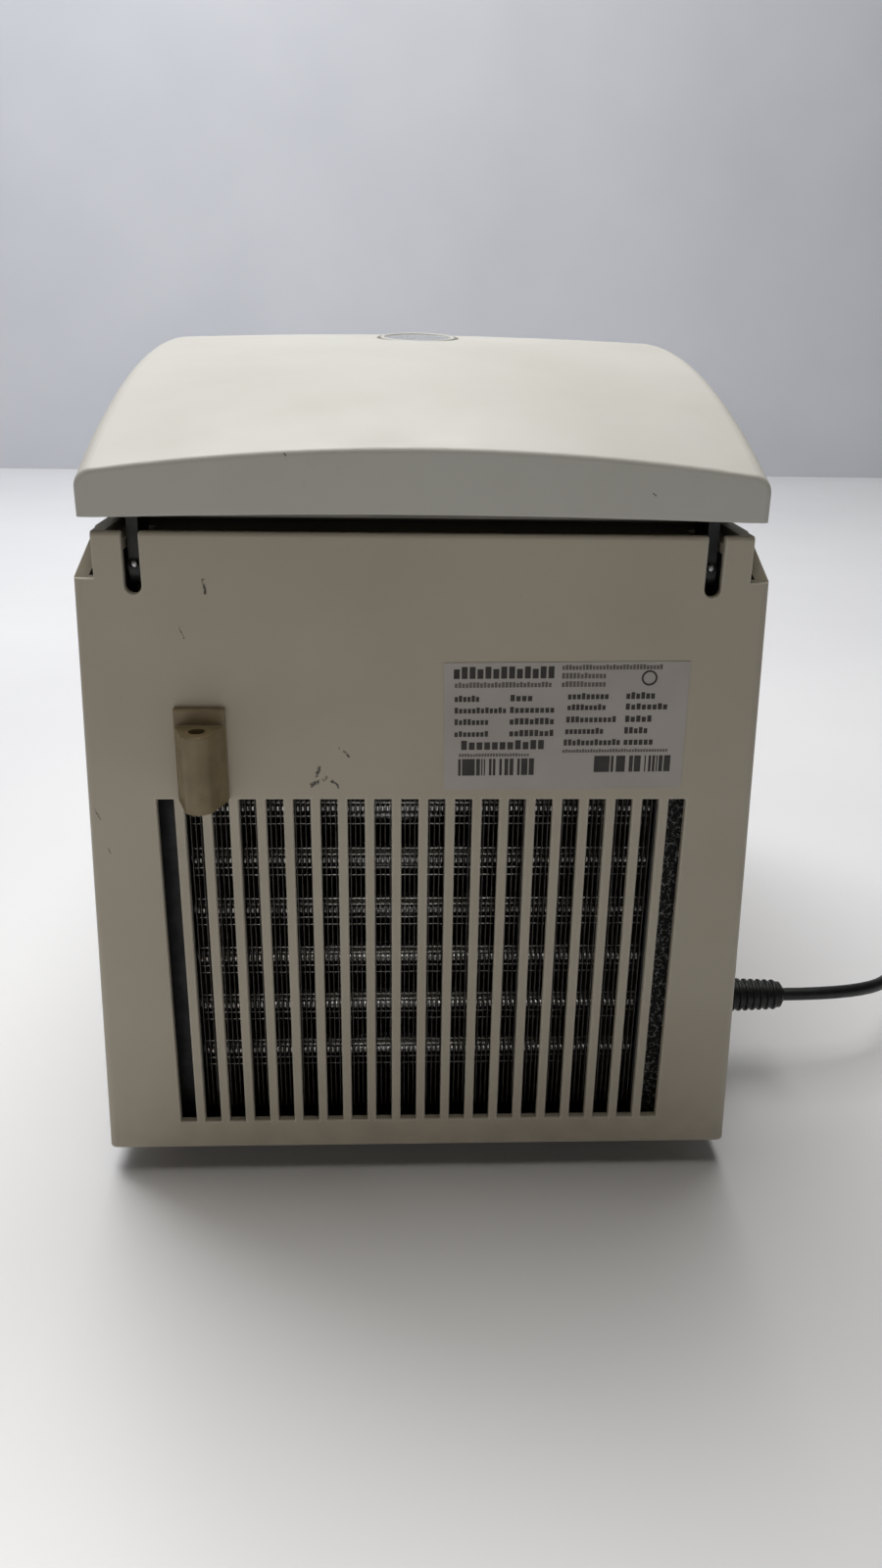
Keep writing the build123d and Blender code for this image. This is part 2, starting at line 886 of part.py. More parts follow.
def make_key(x, up):
    """Round-cornered key that stands proud of the fascia."""
    cap = on_fascia(x, up, 0.4) * Box(key_size[0], key_size[1], 5.2)
    return fillet(cap.edges().filter_by(Axis((0, 0, 0), fascia_place.z_dir)), 2.0)


def make_keypad_board():
    """Circuit board behind the keys."""
    return on_fascia(0, 0, -9.5) * Box(184, 84, 1.6)


def make_wrench_holder():
    """Moulded bracket: a flat back and a wedge-shaped column with a rounded nose."""
    back_sheet = 3.0
    left, right = holder_x - holder_half, holder_x + holder_half
    nose_y = rear + nose_out
    lean = atan2(holder_half - nose_radius, nose_out)
    across = nose_radius * cos(lean)
    along = nose_radius * sin(lean)
    foot_y = rear + 2.5
    near_side = Polyline((left, rear), (right, rear), (right, foot_y), (holder_x + across, nose_y + along))
    far_end = (holder_x - across, nose_y + along)
    nose = ThreePointArc(near_side @ 1, (holder_x, nose_y + nose_radius), far_end)
    far_side = Polyline(nose @ 1, (left, foot_y), (left, rear))
    column = Pos(0, 0, holder_low) * extrude(make_face(near_side + nose + far_side), holder_column)
    holder = block((left, right), (rear, rear + back_sheet), (holder_low, holder_high)) + column
    column_top = holder_low + holder_column
    high_edges = [edge for edge in holder.edges() if edge.center().Z > column_top - 1]
    holder = fillet([edge for edge in high_edges if edge.center().Y > foot_y], 0.6)
    socket_y = rear + socket_out
    socket = rod(socket_radius, (holder_x, socket_y, holder_low - 3), (holder_x, socket_y, column_top + 3))
    return holder - socket


def make_label():
    """Thin rating label, put on slightly askew."""
    return Pos(label_x, rear + label_size[1] / 2, label_z) * Rot(0, label_tilt, 0) * Box(*label_size)


def pin_places():
    """Offsets of the inlet's three pins from its middle."""
    return [(-7, -2), (0, 2), (7, -2)]


def make_inlet():
    """Appliance inlet with its recess and three pins."""
    body = block((-mains_face, -112), (mains_y - 15, mains_y + 15), (mains_z - 12, mains_z + 12))
    body -= block((-150, -126), (mains_y - 12.4, mains_y + 12.4), (mains_z - 8.6, mains_z + 8.6))
    for across, up in pin_places():
        y = mains_y + across
        z = mains_z + up
        body += block((-142, -112), (y - 1, y + 1), (z - 2, z + 2))
    return body


def make_switch_frame():
    """Switch body with a round pocket for the rocker."""
    pocket_half = 7.0
    pocket_radius = 11.4
    frame = block((-mains_face, -122), (switch_y - 10.5, switch_y + 10.5), (mains_z - 14.5, mains_z + 14.5))
    low, high = switch_y - pocket_half, switch_y + pocket_half
    frame -= rod(pocket_radius, (switch_pivot_x, low, mains_z), (switch_pivot_x, high, mains_z))
    mouth = (mains_z - pocket_radius, mains_z + pocket_radius)
    return frame - block((-150, switch_pivot_x), (low, high), mouth)


def make_rocker():
    """Rocker drawn level, then tipped to its off position."""
    half = 6.6
    drum = rod(11, (switch_pivot_x, switch_y - half, mains_z), (switch_pivot_x, switch_y + half, mains_z))
    face = [
        (-130, mains_z - 12),
        (-145, mains_z - 12),
        (-143.4, mains_z),
        (-145, mains_z + 12),
        (-130, mains_z + 12),
    ]
    rocker = drum & prism_y(face, switch_y - half - 0.4, switch_y + half + 0.4)
    pivot = Pos(switch_pivot_x, 0, mains_z)
    return pivot * Rot(0, -switch_tip, 0) * Pos(-switch_pivot_x, 0, -mains_z) * rocker


def make_connector():
    """Moulded plug that sits in the inlet, with its tapered strain relief."""
    outward = (Align.CENTER, Align.CENTER, Align.MIN)
    grip_end = -168.0
    sleeve_length = 30.0
    seat = -mains_face - 2
    nose = block((seat, -126.6), (mains_y - 12, mains_y + 12), (mains_z - 8.2, mains_z + 8.2))
    grip = block((grip_end, seat), (mains_y - 13.5, mains_y + 13.5), (mains_z - 10, mains_z + 10))
    body = nose + fillet(grip.edges().filter_by(Axis.X), 4.0)
    for across, up in pin_places():
        y = mains_y + across
        z = mains_z + up
        body -= block((-143, -120), (y - 1.3, y + 1.3), (z - 2.3, z + 2.3))
    relief = Plane(origin=(grip_end, mains_y, mains_z), z_dir=(-1, 0, 0)).location
    sleeve = Cone(8.2, 7.0, sleeve_length, align=outward)
    tip = Pos(0, 0, sleeve_length) * Cone(7.0, cord_radius + 0.7, 2, align=outward)
    return body + relief * (sleeve + tip)


def fillet_radii(points):
    """Bend radius at each inner point, 0.45 of the shorter run over tan of half the turn."""
    radii = []
    for before, here, after in zip(points, points[1:], points[2:]):
        first = Vector(*here) - Vector(*before)
        second = Vector(*after) - Vector(*here)
        turn = radians(first.get_angle(second))
        radii.append(0.45 * min(first.length, second.length) / tan(turn / 2))
    return radii


def cord_tube(points):
    """Round tube along straight runs joined by tangent arcs."""
    radii = fillet_radii(points)
    print("cord bend radii", [round(radius, 1) for radius in radii])
    path = FilletPolyline(*points, radius=radii)
    section = Plane(origin=path @ 0, z_dir=path % 0) * Circle(cord_radius)
    return sweep(section, path)


def make_cord():
    """The lead up to the coil, and the tail from the coil to the plug."""
    return join([cord_tube(cord_points), cord_tube(tail_points)])


def make_coil():
    """Ring that holds the wound turns of cord."""
    section = Pos(coil_radius, 0, 0) * RectangleRounded(coil_bundle[0], coil_bundle[1], 8)
    ring = revolve(Plane.XZ * section, Axis.Z)
    return Pos(coil_centre[0], coil_centre[1], coil_bundle[1] / 2) * ring


def make_plug():
    """Straight-blade mains plug lying on the bench beside the coil."""
    height = 21.0
    middle = height / 2
    body_front = -50.0
    body_back = -20.0
    blade_pitch = 12.7
    body = block((-12.5, 12.5), (body_front, body_back), (0, height))
    plug = fillet(body.edges().filter_by(Axis.Y), 6)
    plug += rod(5.2, (0, body_back, middle), (0, 0, middle))
    for x in (-blade_pitch / 2, blade_pitch / 2):
        plug += block((x - 0.8, x + 0.8), (body_front - 16, body_front), (middle, middle + 6.4))
    plug += rod(2.4, (0, body_front - 18, 5.5), (0, body_front, 5.5))
    return Pos(tail_points[-1][0], tail_points[-1][1], 0) * Rot(0, 0, plug_turn) * plug


def parts():
    """Every node of the machine, by name."""
    nodes = {
        "housing": make_housing(),
        "base_tray": make_base_tray(),
        "wrench_holder": make_wrench_holder(),
        "rating_label": make_label(),
        "lid_shell": make_lid_shell(),
        "lid_liner": make_lid_liner(),
        "lid_gasket": make_gasket(),
        "lid_window": make_window(),
        "window_bezel": make_bezel(),
        "hinge_pins": make_hinge_pins(),
        "lid_striker": make_striker(),
        "latch_hook": make_latch_hook(),
        "latch_bracket": make_latch_bracket(),
        "latch_motor": make_latch_motor(),
        "release_plug": make_release(),
        "bowl": make_bowl(),
        "bowl_insulation": make_insulation(),
        "evaporator_coil": make_evaporator(),
        "rotor": make_rotor(),
        "rotor_lid": make_rotor_lid(),
        "rotor_knob": make_rotor_knob(),
        "drive_shaft": make_shaft(),
        "drive_motor": make_motor(),
        "rubber_mounts": make_rubber_mounts(),
        "motor_bracket": make_motor_bracket(),
        "condenser_fins": make_fins(),
        "condenser_tubes": make_condenser_tubes(),
        "condenser_frame": make_condenser_frame(),
        "foam_strip": make_foam_strip(),
        "fan_shroud": make_fan_shroud(),
        "fan": make_fan(),
        "fan_motor": make_fan_motor(),
        "compressor": make_compressor(),
        "control_board": make_board(),
        "transformer": make_transformer(),
        "power_bracket": make_power_bracket(),
        "control_fascia": make_fascia(),
        "display_window": make_display(),
        "keypad_board": make_keypad_board(),
        "mains_inlet": make_inlet(),
        "switch_frame": make_switch_frame(),
        "switch_rocker": make_rocker(),
        "cord_connector": make_connector(),
        "cord_lead": make_cord(),
        "cord_coil": make_coil(),
        "cord_plug": make_plug(),
    }
    for index, (x, y) in enumerate([(-126, 180), (126, 180), (-126, -198), (126, -198)]):
        nodes[f"foot_{index + 1}"] = make_foot(x, y)
    for side, name in ((-1, "left"), (1, "right")):
        nodes[f"hinge_arm_{name}"] = make_hinge_arm(side * hinge_x)
        nodes[f"hinge_bracket_{name}"] = make_hinge_bracket(side * hinge_x)
    for name, (x, up) in key_rows.items():
        nodes[name] = make_key(x, up)
    return nodes


os.makedirs("parts", exist_ok=True)
for name, solid in parts().items():
    export_step(solid, f"parts/{name}.step")
    print(name, len(solid.solids()), round(solid.volume))
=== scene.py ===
import bpy
import json
import math
import random
from mathutils import Euler, Matrix, Vector


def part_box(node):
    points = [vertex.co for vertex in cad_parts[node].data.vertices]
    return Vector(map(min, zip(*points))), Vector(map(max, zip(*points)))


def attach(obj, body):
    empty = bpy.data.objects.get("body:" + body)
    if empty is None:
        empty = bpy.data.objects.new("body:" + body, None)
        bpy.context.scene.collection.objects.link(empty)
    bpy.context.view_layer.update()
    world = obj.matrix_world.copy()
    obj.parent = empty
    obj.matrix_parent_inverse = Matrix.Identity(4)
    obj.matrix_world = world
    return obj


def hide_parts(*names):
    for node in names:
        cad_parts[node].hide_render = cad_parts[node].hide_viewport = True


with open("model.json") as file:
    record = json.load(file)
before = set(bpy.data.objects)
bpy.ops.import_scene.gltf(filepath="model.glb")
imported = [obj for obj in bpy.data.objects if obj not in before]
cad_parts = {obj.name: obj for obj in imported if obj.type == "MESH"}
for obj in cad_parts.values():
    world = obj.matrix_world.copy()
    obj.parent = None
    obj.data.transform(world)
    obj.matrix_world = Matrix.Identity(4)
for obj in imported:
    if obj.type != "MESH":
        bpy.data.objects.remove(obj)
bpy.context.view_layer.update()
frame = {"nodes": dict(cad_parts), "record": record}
nodes = frame["nodes"]
mm = 0.001

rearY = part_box("housing")[1].y
rotorLow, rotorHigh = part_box("rotor")
rotorY = (rotorLow.y + rotorHigh.y) / 2
print("frame loaded:", len(nodes), "nodes")


def hexColour(text):
    # sRGB hex to the linear values that shaders read
    values = [int(text[i:i + 2], 16) / 255 for i in (1, 3, 5)]
    linear = [v / 12.92 if v <= 0.04045 else ((v + 0.055) / 1.055) ** 2.4 for v in values]
    return (*linear, 1.0)


def addNode(tree, kind, settings=None, links=None):
    # one node: settings are attributes or input values, links take an input to an output socket
    node = tree.nodes.new(kind)
    for key, value in (settings or {}).items():
        if isinstance(key, str) and hasattr(node, key):
            setattr(node, key, value)
        else:
            node.inputs[key].default_value = value
    for key, socket in (links or {}).items():
        tree.links.new(socket, node.inputs[key])
    return node


def newMaterial(name, **uniform):
    # an empty material, with the values that are the same all over set on its shader
    material = bpy.data.materials.new(name)
    material.use_nodes = True
    tree = material.node_tree
    tree.nodes.clear()
    shader = addNode(tree, "ShaderNodeBsdfPrincipled")
    for key, value in uniform.items():
        shader.inputs[key.replace("_", " ")].default_value = value
    addNode(tree, "ShaderNodeOutputMaterial", {}, {"Surface": shader.outputs["BSDF"]})
    coords = addNode(tree, "ShaderNodeTexCoord").outputs["Object"]
    return material, tree, shader, coords


def patches(tree, coords, sizeMm, low, high, toLow=0.0, toHigh=1.0, detail=3.0):
    # soft patches about sizeMm across: noise cut between two levels
    noise = addNode(tree, "ShaderNodeTexNoise", {"Scale": 1000 / sizeMm, "Detail": detail},
                    {"Vector": coords})
    levels = {"From Min": low, "From Max": high, "To Min": toLow, "To Max": toHigh}
    cut = addNode(tree, "ShaderNodeMapRange", levels, {"Value": noise.outputs["Fac"]})
    return cut.outputs["Result"]


def surfaceGrain(tree, coords, sizeMm, depthMm, strength=0.6):
    # fine unevenness that only bends the light
    noise = addNode(tree, "ShaderNodeTexNoise", {"Scale": 1000 / sizeMm, "Detail": 2.0},
                    {"Vector": coords})
    return addNode(tree, "ShaderNodeBump", {"Strength": strength, "Distance": depthMm * mm},
                   {"Height": noise.outputs["Fac"]}).outputs["Normal"]


scratchEdge = {
    "rag": 450.0,          # noise scale of the ragged edge, about 2 mm from bump to bump
    "strayMm": 2.4,        # how far the mark wanders from its line
    "core": 0.3,           # share of the width that is fully marked
}


def scratch(tree, coords, start, end, widthMm):
    # 1 on a short ragged mark between two points, 0 elsewhere
    width = widthMm * mm
    ragged = addNode(tree, "ShaderNodeTexNoise", {"Scale": scratchEdge["rag"], "Detail": 2.0},
                     {"Vector": coords})
    centred = addNode(tree, "ShaderNodeVectorMath", {"operation": "SUBTRACT", 1: (0.5, 0.5, 0.5)},
                      {0: ragged.outputs["Color"]})
    scaled = addNode(tree, "ShaderNodeVectorMath",
                     {"operation": "SCALE", "Scale": scratchEdge["strayMm"] * mm},
                     {0: centred.outputs[0]})
    warped = addNode(tree, "ShaderNodeVectorMath", {"operation": "ADD"},
                     {0: coords, 1: scaled.outputs[0]})
    along = Vector(end) - Vector(start)
    offset = addNode(tree, "ShaderNodeVectorMath", {"operation": "SUBTRACT", 1: start},
                     {0: warped.outputs[0]})
    share = addNode(tree, "ShaderNodeVectorMath",
                    {"operation": "DOT_PRODUCT", 1: tuple(along / along.length_squared)},
                    {0: offset.outputs[0]})
    held = addNode(tree, "ShaderNodeClamp", {}, {"Value": share.outputs["Value"]})
    near = addNode(tree, "ShaderNodeVectorMath", {"operation": "SCALE", 0: tuple(along)},
                   {"Scale": held.outputs[0]})
    gap = addNode(tree, "ShaderNodeVectorMath", {"operation": "DISTANCE"},
                  {0: offset.outputs[0], 1: near.outputs[0]})
    return addNode(tree, "ShaderNodeMapRange",
                   {"From Min": width, "From Max": width * scratchEdge["core"]},
                   {"Value": gap.outputs["Value"]}).outputs["Result"]


def wornAndLitEdgeMask(tree, widthMm):
    # 1 on outer corners, where handling has worn the surface and where an edge highlight is painted
    soft = addNode(tree, "ShaderNodeBevel", {"samples": 4, "Radius": widthMm * mm})
    flat = addNode(tree, "ShaderNodeNewGeometry")
    turn = addNode(tree, "ShaderNodeVectorMath", {"operation": "DOT_PRODUCT"},
                   {0: soft.outputs["Normal"], 1: flat.outputs["Normal"]})
    return addNode(tree, "ShaderNodeMapRange", {"From Min": 0.995, "From Max": 0.90, "To Max": 0.6},
                   {"Value": turn.outputs["Value"]}).outputs["Result"]


ageingAndEdgeHighlight = {                 # the same on the housing and the lid
    "speckMm": 2.2,
    "dirtMm": 14.0,
    "dirtFrom": 0.05,      # height in metres where dirt from the bench begins, and where it is full
    "dirtFull": 0.012,
    "edgeMm": 0.9,         # how wide the lighter edges are: handling wear and painted edge highlight
    "breakMm": 1.6,        # gaps in the dark marks
    "glossMm": 22.0,
}
shadedShellFinish = {
    # a shaded copy of the lid's plastic: darker, warmer shades, grime and marks are painted shade for
    # the rear in shadow
    "base": "#bfb8a7",
    "warm": "#b9b1a0",
    "grime": "#857e72",
    "mark": "#37332c",
    # lighter edge colour: part handling wear, part painted edge highlight
    "wornAndLitEdge": "#e2e0d8",
    "grainMm": 0.9,        # spark-eroded grain, drawn coarse so that it shows
    "grainDepthMm": 0.05,
    "cloudMm": 70.0,
    "marks": [             # start and end on the rear face as x, z in mm, and width
        ((88.0, 288.0), (87.6, 281.5), 0.9),
        ((35.5, 216.5), (31.5, 212.5), 0.8),
        ((44.0, 208.0), (45.2, 203.5), 1.0),
        ((41.0, 203.0), (47.5, 199.6), 1.1),
        ((38.5, 201.5), (36.0, 198.5), 0.8),
        ((98.5, 268.0), (97.6, 263.0), 0.35),
        ((-95.0, 192.0), (-97.0, 189.0), 0.35),
        ((139.5, 189.0), (137.8, 184.5), 0.45),
        ((135.2, 171.0), (134.8, 168.0), 0.4),
    ],
}
litLidFinish = {
    # a lit copy of the housing's plastic: lighter, cooler shades, grime and marks are painted light for
    # the lid's lit top
    "base": "#d3d2cb",
    "warm": "#cccac2",
    "grime": "#9d978b",
    "mark": "#4a463e",
    # lighter edge colour: part handling wear, part painted edge highlight
    "wornAndLitEdge": "#e8e7e1",
    "grainMm": 0.9,
    "grainDepthMm": 0.04,
    "cloudMm": 90.0,
    "marks": [
        ((55.0, 336.2), (54.0, 334.8), 0.5),
        ((21.0, 331.0), (20.4, 329.6), 0.35),
        ((-88.0, 322.0), (-90.0, 321.5), 0.35),
    ],
}


def agedAbsWithPaintedLight(name, finish):
    # injection-moulded ABS, yellowed with age: a dull satin grey-white with soft clouding,
    # specks, dirt low down and lighter edges, which are part handling wear and part painted
    # edge highlight
    material, tree, shader, coords = newMaterial(name, IOR=1.53)
    shades = {"data_type": "RGBA", 6: hexColour(finish["base"]), 7: hexColour(finish["warm"])}
    shade = addNode(tree, "ShaderNodeMix", shades,
                    {0: patches(tree, coords, finish["cloudMm"], 0.35, 0.7, detail=4.0)})
    speckled = addNode(tree, "ShaderNodeMix", {"data_type": "RGBA", 7: hexColour(finish["grime"])},
                       {0: patches(tree, coords, ageingAndEdgeHighlight["speckMm"], 0.70, 0.80, 0.0, 0.2),
                        6: shade.outputs[2]})
    height = addNode(tree, "ShaderNodeSeparateXYZ", {}, {"Vector": coords}).outputs["Z"]
    low = addNode(tree, "ShaderNodeMapRange",
                  {"From Min": ageingAndEdgeHighlight["dirtFrom"], "From Max": ageingAndEdgeHighlight["dirtFull"], "To Max": 0.35},
                  {"Value": height})
    dirt = addNode(tree, "ShaderNodeMath", {"operation": "MULTIPLY"},
                   {0: low.outputs["Result"],
                    1: patches(tree, coords, ageingAndEdgeHighlight["dirtMm"], 0.35, 0.75)})
    grimy = addNode(tree, "ShaderNodeMix", {"data_type": "RGBA", 7: hexColour(finish["grime"])},
                    {0: dirt.outputs[0], 6: speckled.outputs[2]})
    # lighter outer edges: part handling wear, part painted edge highlight
    wornAndLitEdge = addNode(tree, "ShaderNodeMix", {"data_type": "RGBA", 7: hexColour(finish["wornAndLitEdge"])},
                     {0: wornAndLitEdgeMask(tree, ageingAndEdgeHighlight["edgeMm"]), 6: grimy.outputs[2]})
    marked = wornAndLitEdge.outputs[2]
    broken = patches(tree, coords, ageingAndEdgeHighlight["breakMm"], 0.38, 0.52)
    for start, end, width in finish["marks"]:
        ends = [(x * mm, rearY, z * mm) for x, z in (start, end)]
        mask = scratch(tree, coords, *ends, width)
        ink = addNode(tree, "ShaderNodeMath", {"operation": "MULTIPLY"}, {0: mask, 1: broken})
        marked = addNode(tree, "ShaderNodeMix", {"data_type": "RGBA", 7: hexColour(finish["mark"])},
                         {0: ink.outputs[0], 6: marked}).outputs[2]
    tree.links.new(marked, shader.inputs["Base Color"])
    gloss = patches(tree, coords, ageingAndEdgeHighlight["glossMm"], 0.2, 0.8, 0.40, 0.60)
    tree.links.new(gloss, shader.inputs["Roughness"])
    grain = surfaceGrain(tree, coords, finish["grainMm"], finish["grainDepthMm"])
    tree.links.new(grain, shader.inputs["Normal"])
    return material


def mouldedPlastic(name, base, other, roughness, grainMm=0.8, depthMm=0.03, patchMm=18.0):
    # moulded plastic or rubber: two close shades in soft patches, uneven gloss and a fine grain
    material, tree, shader, coords = newMaterial(name, IOR=1.5)
    shade = addNode(tree, "ShaderNodeMix",
                    {"data_type": "RGBA", 6: hexColour(base), 7: hexColour(other)},
                    {0: patches(tree, coords, patchMm, 0.35, 0.68)})
    tree.links.new(shade.outputs[2], shader.inputs["Base Color"])
    gloss = patches(tree, coords, patchMm * 0.4, 0.25, 0.75, roughness - 0.07, roughness + 0.09)
    tree.links.new(gloss, shader.inputs["Roughness"])
    tree.links.new(surfaceGrain(tree, coords, grainMm, depthMm), shader.inputs["Normal"])
    return material


def rolledMetal(name, base, other, roughness, streakMm, depthMm=0.015, metallic=1.0):
    # rolled or plated sheet: long faint streaks in tone, and dust that dulls the shine in places
    material, tree, shader, coords = newMaterial(name, Metallic=metallic)
    stretched = addNode(tree, "ShaderNodeMapping", {"Scale": tuple(1000 / s for s in streakMm)},
                        {"Vector": coords})
    streak = addNode(tree, "ShaderNodeTexNoise", {"Scale": 1.0, "Detail": 4.0},
                     {"Vector": stretched.outputs["Vector"]})
    level = addNode(tree, "ShaderNodeMapRange", {"From Min": 0.3, "From Max": 0.7},
                    {"Value": streak.outputs["Fac"]})
    shade = addNode(tree, "ShaderNodeMix",
                    {"data_type": "RGBA", 6: hexColour(base), 7: hexColour(other)},
                    {0: level.outputs["Result"]})
    tree.links.new(shade.outputs[2], shader.inputs["Base Color"])
    dull = patches(tree, coords, 9.0, 0.4, 0.8, roughness, roughness + 0.2)
    tree.links.new(dull, shader.inputs["Roughness"])
    relief = addNode(tree, "ShaderNodeBump", {"Strength": 0.5, "Distance": depthMm * mm},
                     {"Height": streak.outputs["Fac"]})
    tree.links.new(relief.outputs["Normal"], shader.inputs["Normal"])
    return material


waveScalePerMm = 314.16    # scale of the wave texture that gives one ring a millimetre


def turnedMetal(name, base, other, roughness, pitchMm):
    # turned or spun about the rotor's axis: fine rings that draw the light into a fan
    material, tree, shader, coords = newMaterial(name, Metallic=1.0)
    centred = addNode(tree, "ShaderNodeMapping", {"Location": (0, -rotorY, 0)}, {"Vector": coords})
    rings = addNode(tree, "ShaderNodeTexWave",
                    {"wave_type": "RINGS", "rings_direction": "Z",
                     "Scale": waveScalePerMm / pitchMm, "Distortion": 0.6, "Detail": 2.0},
                    {"Vector": centred.outputs["Vector"]})
    shade = addNode(tree, "ShaderNodeMix",
                    {"data_type": "RGBA", 6: hexColour(base), 7: hexColour(other)},
                    {0: rings.outputs["Fac"]})
    tree.links.new(shade.outputs[2], shader.inputs["Base Color"])
    dull = patches(tree, coords, 12.0, 0.3, 0.8, roughness, roughness + 0.15)
    tree.links.new(dull, shader.inputs["Roughness"])
    relief = addNode(tree, "ShaderNodeBump", {"Strength": 0.5, "Distance": 0.03 * mm},
                     {"Height": rings.outputs["Fac"]})
    tree.links.new(relief.outputs["Normal"], shader.inputs["Normal"])
    return material


def openCellFoam(name, base, glint, cellMm):
    # open-cell polyurethane foam: dark pores with glinting cell walls
    material, tree, shader, coords = newMaterial(name, Roughness=0.7)
    cells = addNode(tree, "ShaderNodeTexVoronoi",
                    {"feature": "DISTANCE_TO_EDGE", "Scale": 1000 / cellMm}, {"Vector": coords})
    walls = addNode(tree, "ShaderNodeMapRange", {"From Min": 0.16, "From Max": 0.03},
                    {"Value": cells.outputs["Distance"]})
    lit = addNode(tree, "ShaderNodeMath", {"operation": "MULTIPLY"},
                  {0: walls.outputs["Result"], 1: patches(tree, coords, cellMm * 1.3, 0.48, 0.60)})
    shade = addNode(tree, "ShaderNodeMix",
                    {"data_type": "RGBA", 6: hexColour(base), 7: hexColour(glint)},
                    {0: lit.outputs[0]})
    tree.links.new(shade.outputs[2], shader.inputs["Base Color"])
    relief = addNode(tree, "ShaderNodeBump", {"Strength": 1.0, "Distance": 0.6 * mm},
                     {"Height": cells.outputs["Distance"]})
    tree.links.new(relief.outputs["Normal"], shader.inputs["Normal"])
    return material


def clearSheet(name, tint, dulled, roughness, alpha):
    # cast clear plastic: glossy and mostly see-through, hazed by cleaning
    material, tree, shader, coords = newMaterial(name, IOR=1.58, Alpha=alpha)
    haze = patches(tree, coords, 6.0, 0.35, 0.8)
    shade = addNode(tree, "ShaderNodeMix",
                    {"data_type": "RGBA", 6: hexColour(tint), 7: hexColour(dulled)}, {0: haze})
    tree.links.new(shade.outputs[2], shader.inputs["Base Color"])
    wiped = patches(tree, coords, 5.0, 0.4, 0.8, roughness, roughness + 0.12)
    tree.links.new(wiped, shader.inputs["Roughness"])
    tree.links.new(surfaceGrain(tree, coords, 40.0, 0.2, 0.15), shader.inputs["Normal"])
    return material


# slot: finish function, material name, then its two shades, roughness and real sizes in mm
finishes = {
    "housing_plastic": (agedAbsWithPaintedLight, "agedAbsHousingPaintedShade", shadedShellFinish),
    "lid_plastic": (agedAbsWithPaintedLight, "agedAbsLidPaintedLight", litLidFinish),
    "liner_plastic": (mouldedPlastic, "mouldedGreyAbs", "#77746d", "#6a675f", 0.5),
    "holder_plastic": (mouldedPlastic, "yellowedAbsHolder", "#8f7f60", "#7d6f51", 0.42, 0.7, 0.02, 9.0),
    "label_film": (mouldedPlastic, "printedPolyesterLabel", "#bbb6b0", "#b2ada7", 0.36, 3.0, 0.01, 30.0),
    "steel_sheet": (rolledMetal, "zincPlatedSheet", "#8e9093", "#7a7c80", 0.36, (0.6, 40.0, 0.6)),
    "dark_steel": (rolledMetal, "blackZincPlate", "#343537", "#414244", 0.42, (6.0, 6.0, 6.0), 0.01,
                   0.6),
    "pin_steel": (rolledMetal, "turnedBrightSteel", "#b3b5b8", "#9fa1a5", 0.24, (0.5, 20.0, 0.5)),
    "stainless": (turnedMetal, "spunStainlessBowl", "#b9bbbe", "#a3a5a9", 0.26, 1.4),
    "foam": (openCellFoam, "openCellFoam", "#2b2c2d", "#c3c6c8", 1.7),
    "insulation_foam": (mouldedPlastic, "foamedUrethane", "#cfc39a", "#bba97a", 0.8, 2.0, 0.2),
    "copper": (rolledMetal, "drawnFinCollars", "#f2f3f3", "#d9dadb", 0.18, (2.2, 8.0, 8.0)),
    "fin_aluminium": (rolledMetal, "dustyFinStock", "#7d7a76", "#4e4b48", 0.5, (2.0, 3.0, 9.0), 0.02,
                      0.5),
    "rotor_aluminium": (turnedMetal, "blackAnodisedRotor", "#2f3136", "#3b3d43", 0.3, 1.8),
    "lid_aluminium": (turnedMetal, "satinAnodisedRotorLid", "#a3a6ab", "#8f9297", 0.28, 1.2),
    "black_plastic": (mouldedPlastic, "mouldedBlackNylon", "#1d1e20", "#292a2c", 0.46),
    "motor_paint": (mouldedPlastic, "stovedBlackPaint", "#232427", "#2d2e31", 0.33, 1.5, 0.04, 12.0),
    "rubber_grey": (mouldedPlastic, "mouldedFootRubber", "#8f887c", "#7a7469", 0.70, 0.6, 0.05, 6.0),
    "rubber_black": (mouldedPlastic, "extrudedSealRubber", "#18181a", "#232325", 0.64, 0.6, 0.04, 6.0),
    "board_green": (mouldedPlastic, "solderMaskBoard", "#1f5236", "#17402a", 0.33, 1.2, 0.05, 5.0),
    "core_steel": (rolledMetal, "varnishedLaminations", "#56483c", "#3f352d", 0.42, (40.0, 40.0, 0.5),
                   0.1, 0.6),
    "fascia_plastic": (mouldedPlastic, "screenPrintedFascia", "#565d66", "#4d535c", 0.46, 0.7, 0.02,
                       40.0),
    "display_glass": (clearSheet, "tintedDisplayGlass", "#7d8c80", "#879488", 0.10, 1.0),
    "window_glass": (clearSheet, "castPolycarbonate", "#b0b4b6", "#c2c5c7", 0.12, 0.85),
    "key_grey": (mouldedPlastic, "greySiliconeKey", "#b4b8bc", "#a5a9ad", 0.52),
    "key_green": (mouldedPlastic, "greenSiliconeKey", "#3c8a56", "#33774a", 0.52),
    "key_red": (mouldedPlastic, "redSiliconeKey", "#ab3731", "#962f2a", 0.52),
    "cord_black": (mouldedPlastic, "extrudedVinylCord", "#121316", "#1a1b1e", 0.40, 0.7, 0.03, 8.0),
}
